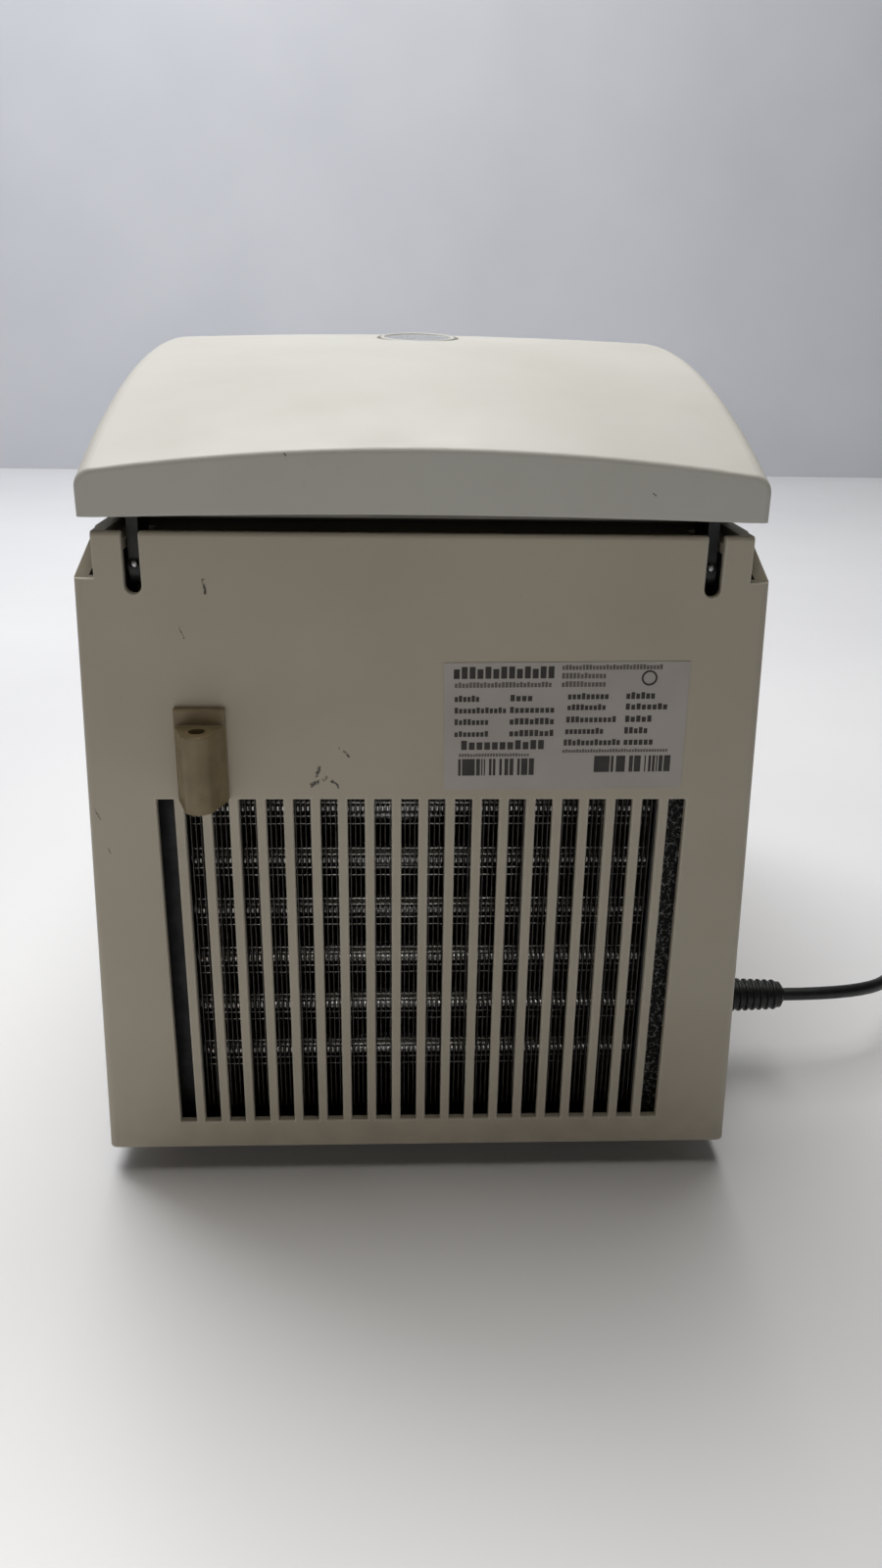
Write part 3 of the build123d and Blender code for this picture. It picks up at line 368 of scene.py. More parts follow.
# inks and metal that only the pieces made below wear
addedFinishes = {
    "screenInk": (mouldedPlastic, "blackScreenInk", "#26221f", "#332e2a", 0.4, 0.9, 0.01, 4.0),
    "faintInk": (mouldedPlastic, "wornScreenInk", "#5f5954", "#6e6862", 0.42, 0.9, 0.01, 4.0),
    "whiteInk": (mouldedPlastic, "whiteKeyInk", "#e9ebec", "#d9dbdc", 0.42, 0.9, 0.01, 4.0),
    "lipMetal": (rolledMetal, "burnishedCollarLips", "#fafaf9", "#eeefef", 0.2, (40.0, 8.0, 8.0),
                 0.002),
}
madeMaterials = {}


def materialOf(key):
    # each material is made once, when a piece first asks for it
    if key not in madeMaterials:
        make, name, *values = (finishes | addedFinishes)[key]
        madeMaterials[key] = make(name, *values)
    return madeMaterials[key]


for part in frame["record"]["subparts"]:
    node = nodes[part["node"]]
    node.data.materials.clear()
    node.data.materials.append(materialOf(part["material_slot"]))
print("materials on CAD nodes:", len(madeMaterials))


def deselectAll():
    bpy.ops.object.select_all(action="DESELECT")


def pickFaces(piece, test):
    # in edit mode with only the faces that pass the test chosen
    bpy.ops.object.mode_set(mode="OBJECT")
    for part in (piece.data.vertices, piece.data.edges):
        part.foreach_set("select", [False] * len(part))
    for face in piece.data.polygons:
        face.select = bool(test(face))
    bpy.ops.object.mode_set(mode="EDIT")
    bpy.ops.mesh.select_mode(type="FACE")


def applyBevel(piece, widthMm, segments=2, angle=40.0):
    bevel = piece.modifiers.new("edges", "BEVEL")
    bevel.width = widthMm * mm
    bevel.segments = segments
    bevel.angle_limit = math.radians(angle)
    bpy.ops.object.modifier_apply(modifier=bevel.name)


def applyWall(piece, thickness, offset=1.0):
    # a thickness in metres for a flat or open shape, outwards unless the offset is -1
    wall = piece.modifiers.new("wall", "SOLIDIFY")
    wall.thickness = thickness
    wall.offset = offset
    bpy.ops.object.modifier_apply(modifier=wall.name)


def copyOf(piece, place, turn=(0, 0, 0)):
    # the same shape again, on its own mesh
    twin = piece.copy()
    twin.data = piece.data.copy()
    bpy.context.scene.collection.objects.link(twin)
    twin.location = place
    twin.rotation_euler = turn
    return twin


def joinAll(pieces):
    deselectAll()
    for piece in pieces:
        piece.select_set(True)
    bpy.context.view_layer.objects.active = pieces[0]
    bpy.ops.object.join()
    return pieces[0]


def settle(piece, name, body, slot, finish=None):
    # the finished piece: its place goes into its mesh, and it rides on its body
    piece.name = name
    piece.data.name = name
    deselectAll()
    piece.select_set(True)
    bpy.context.view_layer.objects.active = piece
    bpy.ops.object.transform_apply(location=True, rotation=True, scale=True)
    piece.data.materials.clear()
    piece.data.materials.append(materialOf(finish or slot))
    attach(piece, body)
    return piece


labelPrint = {
    "tilt": 0.7,
    "inkMm": 0.05,
    "liftMm": 0.02,        # off the label's face
    "seed": 7,
    "tallShare": 0.4,      # of the blocks, how many are as tall as the row
    "rows": [              # left, right, top, bottom from the label's upper left, block width, ink
        (3.7, 46.0, 2.3, 7.4, 3.2, "screenInk"),
        (4.6, 45.0, 8.9, 11.2, 1.5, "faintInk"),
        (4.5, 15.1, 14.6, 17.3, 1.9, "screenInk"),
        (27.5, 37.2, 14.4, 17.2, 2.2, "screenInk"),
        (4.5, 26.4, 19.8, 22.3, 1.9, "screenInk"),
        (27.5, 46.5, 19.6, 22.3, 2.2, "screenInk"),
        (4.5, 19.0, 24.8, 27.4, 1.9, "screenInk"),
        (27.5, 46.5, 24.6, 27.4, 2.2, "screenInk"),
        (4.5, 19.0, 30.1, 32.6, 1.9, "screenInk"),
        (27.5, 46.5, 29.8, 32.6, 2.2, "screenInk"),
        (7.0, 42.7, 34.3, 38.4, 3.3, "screenInk"),
        (6.6, 36.5, 40.1, 41.5, 1.2, "faintInk"),
        (48.9, 90.8, 1.8, 3.9, 1.4, "faintInk"),
        (48.9, 67.5, 5.2, 7.6, 1.5, "faintInk"),
        (48.9, 67.5, 8.8, 11.2, 1.5, "faintInk"),
        (51.6, 69.0, 13.9, 16.6, 1.9, "screenInk"),
        (76.0, 88.4, 13.7, 16.6, 2.2, "screenInk"),
        (51.6, 68.0, 18.8, 21.3, 1.9, "screenInk"),
        (76.0, 93.9, 18.6, 21.3, 2.2, "screenInk"),
        (51.3, 72.6, 24.1, 26.7, 1.9, "screenInk"),
        (76.0, 87.6, 23.9, 26.7, 2.2, "screenInk"),
        (51.1, 67.5, 29.2, 31.8, 1.9, "screenInk"),
        (76.0, 86.2, 29.0, 31.8, 2.2, "screenInk"),
        (50.6, 74.9, 34.2, 36.9, 1.9, "screenInk"),
        (76.0, 88.8, 34.0, 36.9, 2.2, "screenInk"),
        (50.4, 95.4, 38.6, 40.1, 1.2, "faintInk"),
    ],
    "stripes": [(6.6, 38.8, 42.5, 50.0), (64.4, 97.0, 41.7, 49.0)],
    "stripeMm": 0.55,
    "inkedShare": 0.56,    # of the stripes, how many are inked
    "ring": (85.7, 7.6, 3.3, 0.8),    # right, down, radius and line
}
flatOnRear = (math.radians(-90), 0, 0)    # turns a flat shape to lie on the rear, facing out


def inkGrid(settings, left, right, top, bottom, columns, rows):
    # a flat grid on the label, placed from the label's upper left as seen from behind
    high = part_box("rating_label")[1]
    width, height = (right - left) * mm, (bottom - top) * mm
    place = (high.x - left * mm - width / 2, high.y + settings["liftMm"] * mm,
             high.z - top * mm - height / 2)
    deselectAll()
    bpy.ops.mesh.primitive_grid_add(x_subdivisions=columns, y_subdivisions=rows, size=1,
                                    location=place, rotation=flatOnRear)
    grid = bpy.context.active_object
    grid.scale = (width, height, 1)
    return grid


def inkRing(place, turn, radius, line, sides):
    # a flat ring: a disc whose middle is cut out
    deselectAll()
    bpy.ops.mesh.primitive_circle_add(vertices=sides, radius=radius * mm, fill_type="NGON",
                                      location=place, rotation=turn)
    ring = bpy.context.active_object
    pickFaces(ring, lambda face: True)
    bpy.ops.mesh.inset(thickness=line * mm)
    bpy.ops.mesh.delete(type="FACE")
    bpy.ops.object.mode_set(mode="OBJECT")
    return ring


def makeLabelPrint(settings):
    # stand-in print: plain blocks set out like lines of words, two runs of stripes and a ring
    draw = random.Random(settings["seed"])
    pieces = {"screenInk": [], "faintInk": []}
    for left, right, top, bottom, letter, ink in settings["rows"]:
        letters = max(2, round((right - left) / letter))
        columns = letters * 4    # three for the block and one for the space after it
        grid = inkGrid(settings, left, right, top, bottom, columns, 5)
        tall = [draw.random() < settings["tallShare"] for _ in range(letters)]

        def blank(face):
            column = int((face.center.x + 0.5) * columns)
            above = face.center.y < -0.3    # the top one of five rows
            return column % 4 == 3 or (above and not tall[column // 4])

        pickFaces(grid, blank)
        bpy.ops.mesh.delete(type="FACE")
        bpy.ops.object.mode_set(mode="OBJECT")
        pieces[ink].append(grid)
    for left, right, top, bottom in settings["stripes"]:
        columns = round((right - left) / settings["stripeMm"])
        solid = [draw.random() < settings["inkedShare"] for _ in range(columns)]
        grid = inkGrid(settings, left, right, top, bottom, columns, 1)
        pickFaces(grid,
                  lambda face: not solid[min(int((face.center.x + 0.5) * columns), columns - 1)])
        bpy.ops.mesh.delete(type="FACE")
        bpy.ops.object.mode_set(mode="OBJECT")
        pieces["screenInk"].append(grid)
    across, down, radius, line = settings["ring"]
    low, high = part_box("rating_label")
    place = (high.x - across * mm, high.y + settings["liftMm"] * mm, high.z - down * mm)
    pieces["screenInk"].append(inkRing(place, flatOnRear, radius, line, 40))
    middle = (low + high) / 2
    for ink, parts in pieces.items():
        printed = joinAll(parts)
        tilt = Matrix.Translation(middle) @ Matrix.Rotation(math.radians(settings["tilt"]), 4, "Y")
        printed.matrix_world = tilt @ Matrix.Translation(-middle) @ printed.matrix_world
        bpy.ops.object.transform_apply(location=True, rotation=True, scale=True)
        applyWall(printed, settings["inkMm"] * mm)
        settle(printed, "label_" + ink, "cabinet", "label_film", ink)


makeLabelPrint(labelPrint)
print("label print laid out")

hingeRivet = {
    "radius": 1.7,
    "height": 1.5,
    "x": 116.0,
    "y": 203.4,
    "z": 292.0,
    "steps": [(0.5, 0.35), (0.6, 0.2)],    # how far in and how far up each step of the dome goes
    "edgeMm": 0.2,
}


def makeHingeRivets(settings):
    # domed steel rivet heads on the rear edges of the hinge arms
    deselectAll()
    bpy.ops.mesh.primitive_cylinder_add(vertices=28, radius=settings["radius"] * mm,
                                        depth=settings["height"] * mm, location=(0, 0, 0),
                                        rotation=flatOnRear)
    head = bpy.context.active_object
    pickFaces(head, lambda face: face.normal.z > 0.9)
    for inwards, upwards in settings["steps"]:
        bpy.ops.mesh.inset(thickness=inwards * mm)
        bpy.ops.transform.translate(value=(0, upwards * mm, 0))
    bpy.ops.object.mode_set(mode="OBJECT")
    applyBevel(head, settings["edgeMm"], 2, 20.0)
    bpy.ops.object.shade_smooth()
    y = settings["y"] + settings["height"] / 2
    for side, label in ((-1, "Left"), (1, "Right")):
        place = (side * settings["x"] * mm, y * mm, settings["z"] * mm)
        settle(copyOf(head, place, flatOnRear), "hingeRivet" + label, "lid", "pin_steel")
    bpy.data.objects.remove(head)


makeHingeRivets(hingeRivet)

collarLips = {
    "rows": 6,
    "lowest": 54.6,
    "pitch": 25.4,
    "inFromFace": 2.2,     # behind the outer edges of the fins
    "gaps": 93,            # one lip in each gap between the fins
    "gapPitch": 2.2,
    "lip": (0.8, 1.7, 1.4),    # height over the tube run, radius and length
    "ripples": [           # height over the tube run and radius of each ripple pressed in the fins
        (-3.3, 0.25),
        (-7.0, 0.2),
        (6.2, 0.25),
    ],
    "spread": 0.0087,      # each row stands this much higher per mm under the top row
}
alongX = (0, math.radians(90), 0)    # turns a cylinder to lie across the machine


def makeCollarLips(settings):
    # rolled lips of the fin collars and the ripples beside them, bright inside the fins' edges
    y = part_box("condenser_fins")[1].y - settings["inFromFace"] * mm
    top = settings["lowest"] + (settings["rows"] - 1) * settings["pitch"]
    span = settings["gaps"] * settings["gapPitch"]
    first = -span / 2 + settings["gapPitch"] / 2
    up, radius, length = settings["lip"]
    bars = []
    for row in range(settings["rows"]):
        base = settings["lowest"] + row * settings["pitch"]
        base += (top - base) * settings["spread"]
        deselectAll()
        bpy.ops.mesh.primitive_cylinder_add(vertices=10, radius=radius * mm, depth=length * mm,
                                            location=(first * mm, y, (base + up) * mm),
                                            rotation=alongX)
        lip = bpy.context.active_object
        applyBevel(lip, radius * 0.25, 1, 50.0)
        bpy.ops.object.transform_apply(location=False, rotation=True, scale=False)
        repeat = lip.modifiers.new("gaps", "ARRAY")
        repeat.count = settings["gaps"]
        repeat.use_relative_offset = False
        repeat.use_constant_offset = True
        repeat.constant_offset_displace = (settings["gapPitch"] * mm, 0, 0)
        bpy.ops.object.modifier_apply(modifier=repeat.name)
        bars.append(lip)
        for rise, thin in settings["ripples"]:
            deselectAll()
            bpy.ops.mesh.primitive_cylinder_add(vertices=8, radius=thin * mm, depth=span * mm,
                                                location=(0, y, (base + rise) * mm),
                                                rotation=alongX)
            ripple = bpy.context.active_object
            applyBevel(ripple, thin * 0.3, 1, 50.0)
            bars.append(ripple)
    settle(joinAll(bars), "finCollarLips", "cabinet", "copper", "lipMetal")


makeCollarLips(collarLips)

windowRim = {"radius": 18.4, "bead": 1.1, "flatten": 0.7, "z": 375.9, "tilt": -5.5}


def makeWindowRim(settings):
    # moulded bead around the sight window, flattened on top
    deselectAll()
    bpy.ops.mesh.primitive_torus_add(major_segments=72, minor_segments=14,
                                     major_radius=settings["radius"] * mm,
                                     minor_radius=settings["bead"] * mm)
    bead = bpy.context.active_object
    pickFaces(bead, lambda face: True)
    bpy.ops.mesh.bisect(plane_co=(0, 0, 0), plane_no=(0, 0, 1), use_fill=True,
                        clear_inner=True)
    bpy.ops.object.mode_set(mode="OBJECT")
    bead.scale = (1, 1, settings["flatten"])
    bead.location = (0, rotorY, settings["z"] * mm)
    bead.rotation_euler = (math.radians(settings["tilt"]), 0, 0)
    bpy.ops.object.shade_smooth_by_angle(angle=math.radians(40))
    settle(bead, "windowBead", "lid", "lid_plastic")


makeWindowRim(windowRim)

trayScrew = {
    "headRadius": 3.2,
    "headHeight": 1.6,
    "rimMm": 0.7,
    "slotMm": 0.8,
    "slotReach": 2.6,      # the slot's faces lie within this radius
    "slotDepth": 0.7,
    "edgeMm": 0.35,
    "places": [(-95.0, 180.0), (95.0, 180.0), (-95.0, -195.0), (95.0, -195.0)],
}


def makeTrayScrews(settings):
    # slotted pan-head screws that hold the base tray, heads down
    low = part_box("base_tray")[0]
    deselectAll()
    bpy.ops.mesh.primitive_cylinder_add(vertices=32, radius=settings["headRadius"] * mm,
                                        depth=settings["headHeight"] * mm)
    head = bpy.context.active_object
    pickFaces(head, lambda face: face.normal.z < -0.9)
    bpy.ops.mesh.inset(thickness=settings["rimMm"] * mm)
    halfSlot = settings["slotMm"] / 2 * mm
    reach = settings["slotReach"] * mm
    for side in (-1, 1):
        bpy.ops.mesh.bisect(plane_co=(0, side * halfSlot, 0), plane_no=(0, 1, 0))
        pickFaces(head, lambda face: face.normal.z < -0.9 and face.center.xy.length < reach)
    # the slot runs on through the rim
    pickFaces(head, lambda face: face.normal.z < -0.9 and abs(face.center.y) < halfSlot
              and face.area < 6 * mm * mm)
    bpy.ops.mesh.extrude_region_move(
        TRANSFORM_OT_translate={"value": (0, 0, settings["slotDepth"] * mm)})
    bpy.ops.object.mode_set(mode="OBJECT")
    applyBevel(head, settings["edgeMm"], 3, 50.0)
    for index, (x, y) in enumerate(settings["places"]):
        place = (x * mm, y * mm, low.z - settings["headHeight"] / 2 * mm)
        settle(copyOf(head, place), "trayScrew" + str(index + 1), "cabinet", "pin_steel")
    bpy.data.objects.remove(head)


makeTrayScrews(trayScrew)

# icons and lines on the sloping fascia; sizes and places in mm across and up from its middle
fasciaPrint = {
    "lean": 8.785,         # degrees back from upright
    "inkMm": 0.08,
    "keyFaceMm": 2.6,      # from the middle of a key to its face
    "glassFaceMm": 1.3,
    "sheetFaceMm": 1.5,
    # triangles as across, up, radius and heading in degrees, then bars as across, up, width, height
    "icons": {
        "key_open": ([(0.0, 0.9, 2.6, 90.0)], [(0.0, -2.3, 4.6, 0.9)]),
        "key_quick": ([(-1.9, 0.0, 2.3, 0.0), (1.6, 0.0, 2.3, 0.0)], []),
        "key_up": ([(0.0, -0.4, 2.9, 90.0)], []),
        "key_down": ([(0.0, 0.4, 2.9, -90.0)], []),
        "key_stop": ([], [(0.0, 0.0, 4.4, 4.4)]),
        "key_start": ([(-0.4, 0.0, 3.0, 0.0)], []),
    },
    "frames": [            # across, up, width, height and corner radius of each printed outline
        (0.0, 27.0, 120.0, 40.0, 4.0),
        (-78.0, -20.0, 34.0, 44.0, 4.0),
        (-14.0, -20.0, 34.0, 44.0, 4.0),
        (67.0, -20.0, 64.0, 24.0, 4.0),
    ],
    "lineMm": 0.7,
    "digits": [            # left edge of each group and what it shows
        (-51.0, "13000"),
        (4.0, "015"),
        (38.0, "04"),
    ],
    "digit": {
        "pitch": 8.6,
        "width": 5.6,
        "height": 12.0,
        "stroke": 1.2,
        "tallGap": 1.1,    # how much shorter than its reach an upright bar is, in strokes
        "wideGap": 1.2,
    },
}
# the lit bars of each digit, a to g: top, upper right, lower right, bottom, lower left, upper left
# and middle
digitBars = {"0": "abcdef", "1": "bc", "3": "abcdg", "4": "bcfg", "5": "acdfg"}


def fasciaTurn(settings, heading=0.0):
    # lays a flat shape on the sloping fascia, turned by heading in degrees
    tilt = Matrix.Rotation(math.radians(90.0 - settings["lean"]), 4, "X")
    return (tilt @ Matrix.Rotation(math.radians(heading), 4, "Z")).to_euler()


def fasciaPoint(settings, middle, across, up, out):
    # a place on the slope, in mm from a middle
    lean = math.radians(settings["lean"])
    upward = Vector((0, math.sin(lean), math.cos(lean)))
    outward = Vector((0, -math.cos(lean), math.sin(lean)))
    return middle + (Vector((across, 0, 0)) + upward * up + outward * out) * mm


def inkBar(place, turn, width, height, thick):
    # a low block with softened edges
    deselectAll()
    bpy.ops.mesh.primitive_cube_add(size=1, location=place, rotation=turn)
    bar = bpy.context.active_object
    bar.scale = (width * mm, height * mm, thick * 2 * mm)
    bpy.ops.object.transform_apply(location=False, rotation=False, scale=True)
    applyBevel(bar, min(width, height) * 0.12, 2, 50.0)
    return bar


def inkTriangle(place, turn, radius, thick):
    deselectAll()
    bpy.ops.mesh.primitive_cylinder_add(vertices=3, radius=radius * mm, depth=thick * 2 * mm,
                                        location=place, rotation=turn)
    triangle = bpy.context.active_object
    applyBevel(triangle, radius * 0.08, 2, 50.0)
    return triangle


def inkFrame(place, turn, width, height, corner, line, thick):
    # printed outline with round corners
    deselectAll()
    bpy.ops.mesh.primitive_plane_add(size=1, location=place, rotation=turn)
    frameLine = bpy.context.active_object
    frameLine.scale = (width * mm, height * mm, 1)
    bpy.ops.object.transform_apply(location=False, rotation=False, scale=True)
    pickFaces(frameLine, lambda face: True)
    bpy.ops.mesh.bevel(affect="VERTICES", offset=corner * mm, segments=5)
    pickFaces(frameLine, lambda face: face.area > 0)
    bpy.ops.mesh.inset(thickness=line * mm)
    bpy.ops.mesh.delete(type="FACE")
    bpy.ops.object.mode_set(mode="OBJECT")
    applyWall(frameLine, thick * mm)
    return frameLine


def makeKeyIcons(settings):
    # generic symbols printed on the keys
    thick = settings["inkMm"]
    for key, (triangles, bars) in settings["icons"].items():
        low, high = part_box(key)
        middle = (low + high) / 2
        face = settings["keyFaceMm"]
        marks = []
        for across, up, radius, heading in triangles:
            # a three-sided cylinder points along its own Y
            place = fasciaPoint(settings, middle, across, up, face)
            marks.append(inkTriangle(place, fasciaTurn(settings, heading - 90.0), radius, thick))
        for across, up, width, height in bars:
            place = fasciaPoint(settings, middle, across, up, face)
            marks.append(inkBar(place, fasciaTurn(settings), width, height, thick))
        slot = next(part["material_slot"] for part in frame["record"]["subparts"]
                    if part["node"] == key)
        ink = "screenInk" if slot == "key_grey" else "whiteInk"
        settle(joinAll(marks), "icon_" + key, key, slot, ink)


def makeFasciaLines(settings):
    # printed outlines around the display and the groups of keys
    low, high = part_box("control_fascia")
    middle = (low + high) / 2
    outlines = []
    for across, up, width, height, corner in settings["frames"]:
        place = fasciaPoint(settings, middle, across, up, settings["sheetFaceMm"])
        outlines.append(inkFrame(place, fasciaTurn(settings), width, height, corner,
                                 settings["lineMm"], settings["inkMm"]))
    settle(joinAll(outlines), "fasciaLines", "cabinet", "fascia_plastic", "whiteInk")


def makeDigits(settings):
    # seven-bar numerals on the face of the display window
    low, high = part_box("display_window")
    middle = (low + high) / 2
    digit = settings["digit"]
    half = digit["width"] / 2
    reach = digit["height"] / 2
    stroke = digit["stroke"]
    long = reach - stroke * digit["tallGap"]
    wide = digit["width"] - stroke * digit["wideGap"]
    places = {
        "a": (0, reach, wide, stroke),
        "b": (half, reach / 2, stroke, long),
        "c": (half, -reach / 2, stroke, long),
        "d": (0, -reach, wide, stroke),
        "e": (-half, -reach / 2, stroke, long),
        "f": (-half, reach / 2, stroke, long),
        "g": (0, 0, wide, stroke),
    }
    bars = []
    for left, text in settings["digits"]:
        for index, character in enumerate(text):
            centre = left + half + index * digit["pitch"]
            for name in digitBars[character]:
                across, up, width, height = places[name]
                place = fasciaPoint(settings, middle, centre + across, up,
                                    settings["glassFaceMm"])
                bars.append(inkBar(place, fasciaTurn(settings), width, height,
                                   settings["inkMm"]))
    settle(joinAll(bars), "displayDigits", "cabinet", "display_glass", "screenInk")


makeKeyIcons(fasciaPrint)
makeFasciaLines(fasciaPrint)
makeDigits(fasciaPrint)
print("fascia printed")

rockerMarks = {
    "bar": ((-144.96, 48.3), -105.6, 4.4, 0.9),    # x and z, tilt in degrees, length and width
    "ring": ((-143.32, 36.5), -90.0, 2.3, 0.8),    # x and z, tilt, radius and line
    "inkMm": 0.08,
}


def makeRockerMarks(settings):
    # on and off marks: a bar and a ring
    low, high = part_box("switch_rocker")
    y = (low.y + high.y) / 2
    (x, z), tilt, length, width = settings["bar"]
    bar = inkBar((x * mm, y, z * mm), (0, math.radians(tilt), 0), length, width,
                 settings["inkMm"])
    (x, z), tilt, radius, line = settings["ring"]
    ring = inkRing((x * mm, y, z * mm), (0, math.radians(tilt), 0), radius, line, 32)
    applyWall(ring, settings["inkMm"] * mm)
    settle(joinAll([bar, ring]), "rockerMarks", "switch_rocker", "black_plastic", "whiteInk")


makeRockerMarks(rockerMarks)

# all in metres and degrees
cordSettings = {
    "diameter": 0.0070,
    "lead": [              # from the connector's sleeve down to the bench
        (-0.2000, 0.1255, 0.0435),
        (-0.2470, 0.1255, 0.0435),
        (-0.2800, 0.0920, 0.0380),
        (-0.3040, 0.0540, 0.0180),
        (-0.3250, 0.0160, 0.0050),
        (-0.3440, -0.0200, 0.00375),
    ],
    "joinAngle": -35.0,    # where the lead meets the coil, in degrees
    "leaveShare": 0.86,    # how far round the top turn goes before it leaves for the plug
    "centre": (-0.3840, 0.0080),
    "turns": [             # radius and height of each turn, in the order they are wound
        (0.0490, 0.00375),
        (0.0420, 0.00375),
        (0.0350, 0.00375),
        (0.0385, 0.0098),
        (0.0455, 0.0098),
        (0.0420, 0.0159),
    ],
    "pointsPerTurn": 14,
    "driftFrom": 0.6,      # share of a turn after which it moves over to the next radius
    "tail": [
        (-0.3340, -0.0080, 0.0140),
        (-0.3380, -0.0370, 0.0095),
        (-0.3500, -0.0610, 0.0105),
    ],
    "length": 1.8,
    "rib": {"width": 0.0016, "sunk": 0.0008, "roundShare": 0.6},
    "sleeve": {
        "ribs": 7,
        "first": -0.1715,
        "pitch": 0.0038,
        "radius": 0.0081,
        "taper": 0.00015,
        "proud": 0.0009,
    },
    "plugRibs": {
        "ribs": 4,
        "first": 0.004,
        "pitch": 0.0038,
        "radius": 0.0052,
        "proud": 0.0006,
        "turn": -30.0,
    },
    "tie": {
        "angle": 115.0,
        "width": 0.011,
        "inner": (0.0245, 0.0200),
        "corner": 0.007,
        "thick": 0.0012,
        "edgeMm": 0.25,
    },
}


def cordPoints(settings):
    # the lead, then turns wound clockwise that drift from one radius to the next, then the tail
    points = list(settings["lead"])
    turns = settings["turns"]
    steps = settings["pointsPerTurn"]
    x, y = settings["centre"]
    start = math.radians(settings["joinAngle"])
    for index, (radius, height) in enumerate(turns):
        following = turns[min(index + 1, len(turns) - 1)]
        for step in range(1, steps + 1):
            share = step / steps
            if index == len(turns) - 1 and share > settings["leaveShare"]:
                break
            ease = max(0.0, (share - settings["driftFrom"]) / (1 - settings["driftFrom"]))
            r = radius + (following[0] - radius) * ease
            z = height + (following[1] - height) * ease
            angle = start - 2 * math.pi * share
            points.append((x + r * math.cos(angle), y + r * math.sin(angle), z))
    return points + settings["tail"]


def ribRing(rib, place, turn, radius, proud):
    # one raised moulded rib around a sleeve that points along the ring's own Z
    deselectAll()
    bpy.ops.mesh.primitive_cylinder_add(vertices=36, radius=radius + proud, depth=rib["width"],
                                        location=place, rotation=turn, end_fill_type="NOTHING")
    ring = bpy.context.active_object
    bpy.ops.object.mode_set(mode="EDIT")
    bpy.ops.mesh.select_all(action="SELECT")
    bpy.ops.mesh.subdivide(number_cuts=2)
    bpy.ops.object.mode_set(mode="OBJECT")
    applyWall(ring, proud + rib["sunk"], -1.0)
    applyBevel(ring, proud / mm * rib["roundShare"], 3, 50.0)
    return ring


def makeSleeveRibs(settings):
    # grip ribs on the connector's tapered strain relief
    sleeve = settings["sleeve"]
    x, y, z = settings["lead"][0]
    rings = []
    for index in range(sleeve["ribs"]):
        place = (sleeve["first"] - index * sleeve["pitch"], y, z)
        radius = sleeve["radius"] - index * sleeve["taper"]
        rings.append(ribRing(settings["rib"], place, alongX, radius, sleeve["proud"]))
    settle(joinAll(rings), "connectorRibs", "cabinet", "cord_black")


def makePlugRibs(settings):
    # the same ribs where the cord goes into the plug
    ribs = settings["plugRibs"]
    x, y, z = settings["tail"][-1]
    heading = math.radians(ribs["turn"])
    rings = []
    for index in range(ribs["ribs"]):
        back = ribs["first"] + index * ribs["pitch"]
        place = (x + back * math.sin(heading), y - back * math.cos(heading), z)
        turn = (math.radians(90), 0, heading)
        rings.append(ribRing(settings["rib"], place, turn, ribs["radius"], ribs["proud"]))
    return settle(joinAll(rings), "plugRibs", "cabinet", "cord_black")


def makeCoilTie(settings):
    # hook-and-loop tie around the wound part of the cord
    tie = settings["tie"]
    angle = math.radians(tie["angle"])
    x, y = settings["centre"]
    radius = settings["turns"][1][0]
    wide, high = tie["inner"]
    deselectAll()
    place = (x + radius * math.cos(angle), y + radius * math.sin(angle), high / 2)
    bpy.ops.mesh.primitive_cube_add(size=1, location=place, rotation=(0, 0, angle))
    band = bpy.context.active_object
    band.scale = (wide, tie["width"], high)
    bpy.ops.object.transform_apply(location=False, rotation=False, scale=True)
    pickFaces(band, lambda face: abs(face.normal.y) > 0.9)
    bpy.ops.mesh.delete(type="ONLY_FACE")
    bpy.ops.object.mode_set(mode="OBJECT")
    corners = band.modifiers.new("corners", "BEVEL")
    corners.width = tie["corner"]
    corners.segments = 6
    bpy.ops.object.modifier_apply(modifier=corners.name)
    applyWall(band, tie["thick"], -1.0)
    applyBevel(band, tie["edgeMm"], 2, 50.0)
    return settle(band, "coilTie", "cabinet", "rubber_black")


def makeCord(settings):
    # the whole lead as one round curve through its points
    points = cordPoints(settings)
    curve = bpy.data.curves.new("mainsCord", "CURVE")
    curve.dimensions = "3D"
    spline = curve.splines.new("NURBS")
    spline.points.add(len(points) - 1)
    for point, place in zip(spline.points, points):
        point.co = (*place, 1.0)
    spline.order_u = 3
    spline.use_endpoint_u = True
    spline.resolution_u = 8
    curve.bevel_depth = settings["diameter"] / 2
    curve.bevel_resolution = 5
    curve.use_fill_caps = True
    cord = bpy.data.objects.new("mainsCord", curve)
    bpy.context.scene.collection.objects.link(cord)
    cord.data.materials.append(materialOf("cord_black"))
    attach(cord, "cabinet")
    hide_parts("cord_lead", "cord_coil")
    makePlugRibs(settings)
    makeCoilTie(settings)
    return cord


makeSleeveRibs(cordSettings)
makeCord(cordSettings)
print("cord laid")

# where the lens stands, in metres and degrees
view = {
    "place": (0.0134, rearY + 0.4662, 0.3817),
    "turn": 177.45,        # heading of the lens, in degrees about Z
    "tilt": 68.75,         # 90 looks level
    "roll": 0.92,
    "lens": 27.0,
}
camera = bpy.data.objects.new("studioCamera", bpy.data.cameras.new("studioCamera"))
bpy.context.scene.collection.objects.link(camera)
camera.data.lens = view["lens"]
camera.data.sensor_width = 36.0
camera.data.clip_start = 0.01
look = Euler((math.radians(view["tilt"]), 0, math.radians(view["turn"]))).to_matrix()
look = look @ Matrix.Rotation(math.radians(view["roll"]), 3, "Z")
camera.matrix_world = Matrix.Translation(view["place"]) @ look.to_4x4()
bpy.context.scene.camera = camera

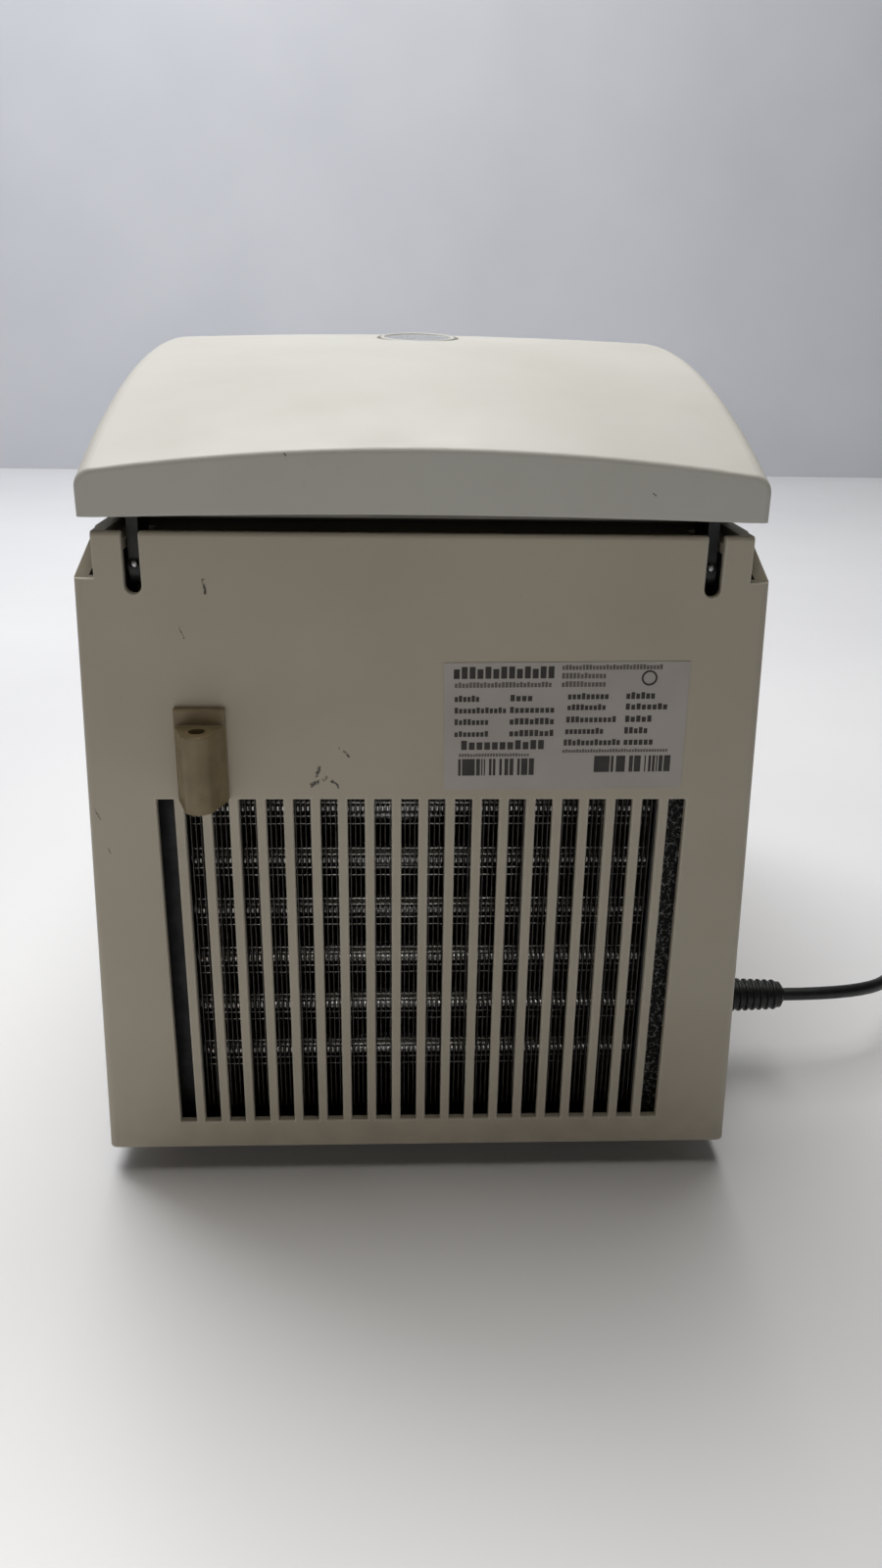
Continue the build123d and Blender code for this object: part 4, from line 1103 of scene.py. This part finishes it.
studio = {
    "floor": "#f0f1f3",
    "floorPatch": "#e9eaed",
    "wall": "#dcdfe5",
    "wallPatch": "#d3d6dd",
    "wallDistance": 2.7,
    "boardSize": 12.0,
    "patchMm": 500.0,
    "world": ("#efdcc0", 0.02),
    "lights": [            # name, power in watts, size, place, target and colour
        ("keyLight", 84.0, (2.2, 2.2), (0.4, -0.9, 3.0), (0, 0.0, 0.1), "#fffdfa"),
        ("topLight", 6.5, (0.8, 0.8), (-0.1, 0.38, 2.4), (-0.1, 0.5, 0), "#fffaf2"),
        ("wallLight", 22.0, (1.4, 1.4), (1.2, -1.0, 2.6), (0.1, -2.7, 1.0), "#f6f8ff"),
        ("lowFill", 0.09, (0.2, 0.2), (0.22, 0.58, 0.12), (0.06, 0.2, 0.03), "#fff0e0"),
        ("rearStrip", 0.36, (1.2, 0.08), (0.0, 1.1, 0.45), (0, 0.2, 0.1), "#fffaf2"),
    ],
}


def stagePlane(name, size, place, rotation, shades, roughness):
    # painted board: nearly even, a little uneven in tone
    deselectAll()
    bpy.ops.mesh.primitive_plane_add(size=size, location=place, rotation=rotation)
    plane = bpy.context.active_object
    plane.name = name
    material, tree, shader, coords = newMaterial(name, Roughness=roughness)
    shade = addNode(tree, "ShaderNodeMix",
                    {"data_type": "RGBA", 6: hexColour(shades[0]), 7: hexColour(shades[1])},
                    {0: patches(tree, coords, studio["patchMm"], 0.3, 0.7)})
    tree.links.new(shade.outputs[2], shader.inputs["Base Color"])
    plane.data.materials.append(material)
    return plane


def makeLight(name, power, size, place, target, colour):
    # a rectangular lamp turned to face its target
    light = bpy.data.objects.new(name, bpy.data.lights.new(name, "AREA"))
    bpy.context.scene.collection.objects.link(light)
    light.data.energy = power
    light.data.shape = "RECTANGLE"
    light.data.size, light.data.size_y = size
    light.data.color = hexColour(colour)[:3]
    aim = (Vector(target) - Vector(place)).to_track_quat("-Z", "Y")
    light.matrix_world = Matrix.Translation(place) @ aim.to_matrix().to_4x4()


halfBoard = studio["boardSize"] / 2
stagePlane("studioFloor", studio["boardSize"], (0, halfBoard - studio["wallDistance"], 0),
           (0, 0, 0), (studio["floor"], studio["floorPatch"]), 0.35)
stagePlane("studioWall", studio["boardSize"], (0, -studio["wallDistance"], halfBoard),
           (math.radians(90), 0, 0), (studio["wall"], studio["wallPatch"]), 0.8)
for light in studio["lights"]:
    makeLight(*light)
world = bpy.data.worlds.new("studioWorld")
world.use_nodes = True
background = world.node_tree.nodes["Background"]
background.inputs["Color"].default_value = hexColour(studio["world"][0])
background.inputs["Strength"].default_value = studio["world"][1]
bpy.context.scene.world = world
bpy.context.scene.view_settings.view_transform = "Standard"
print("stage set")
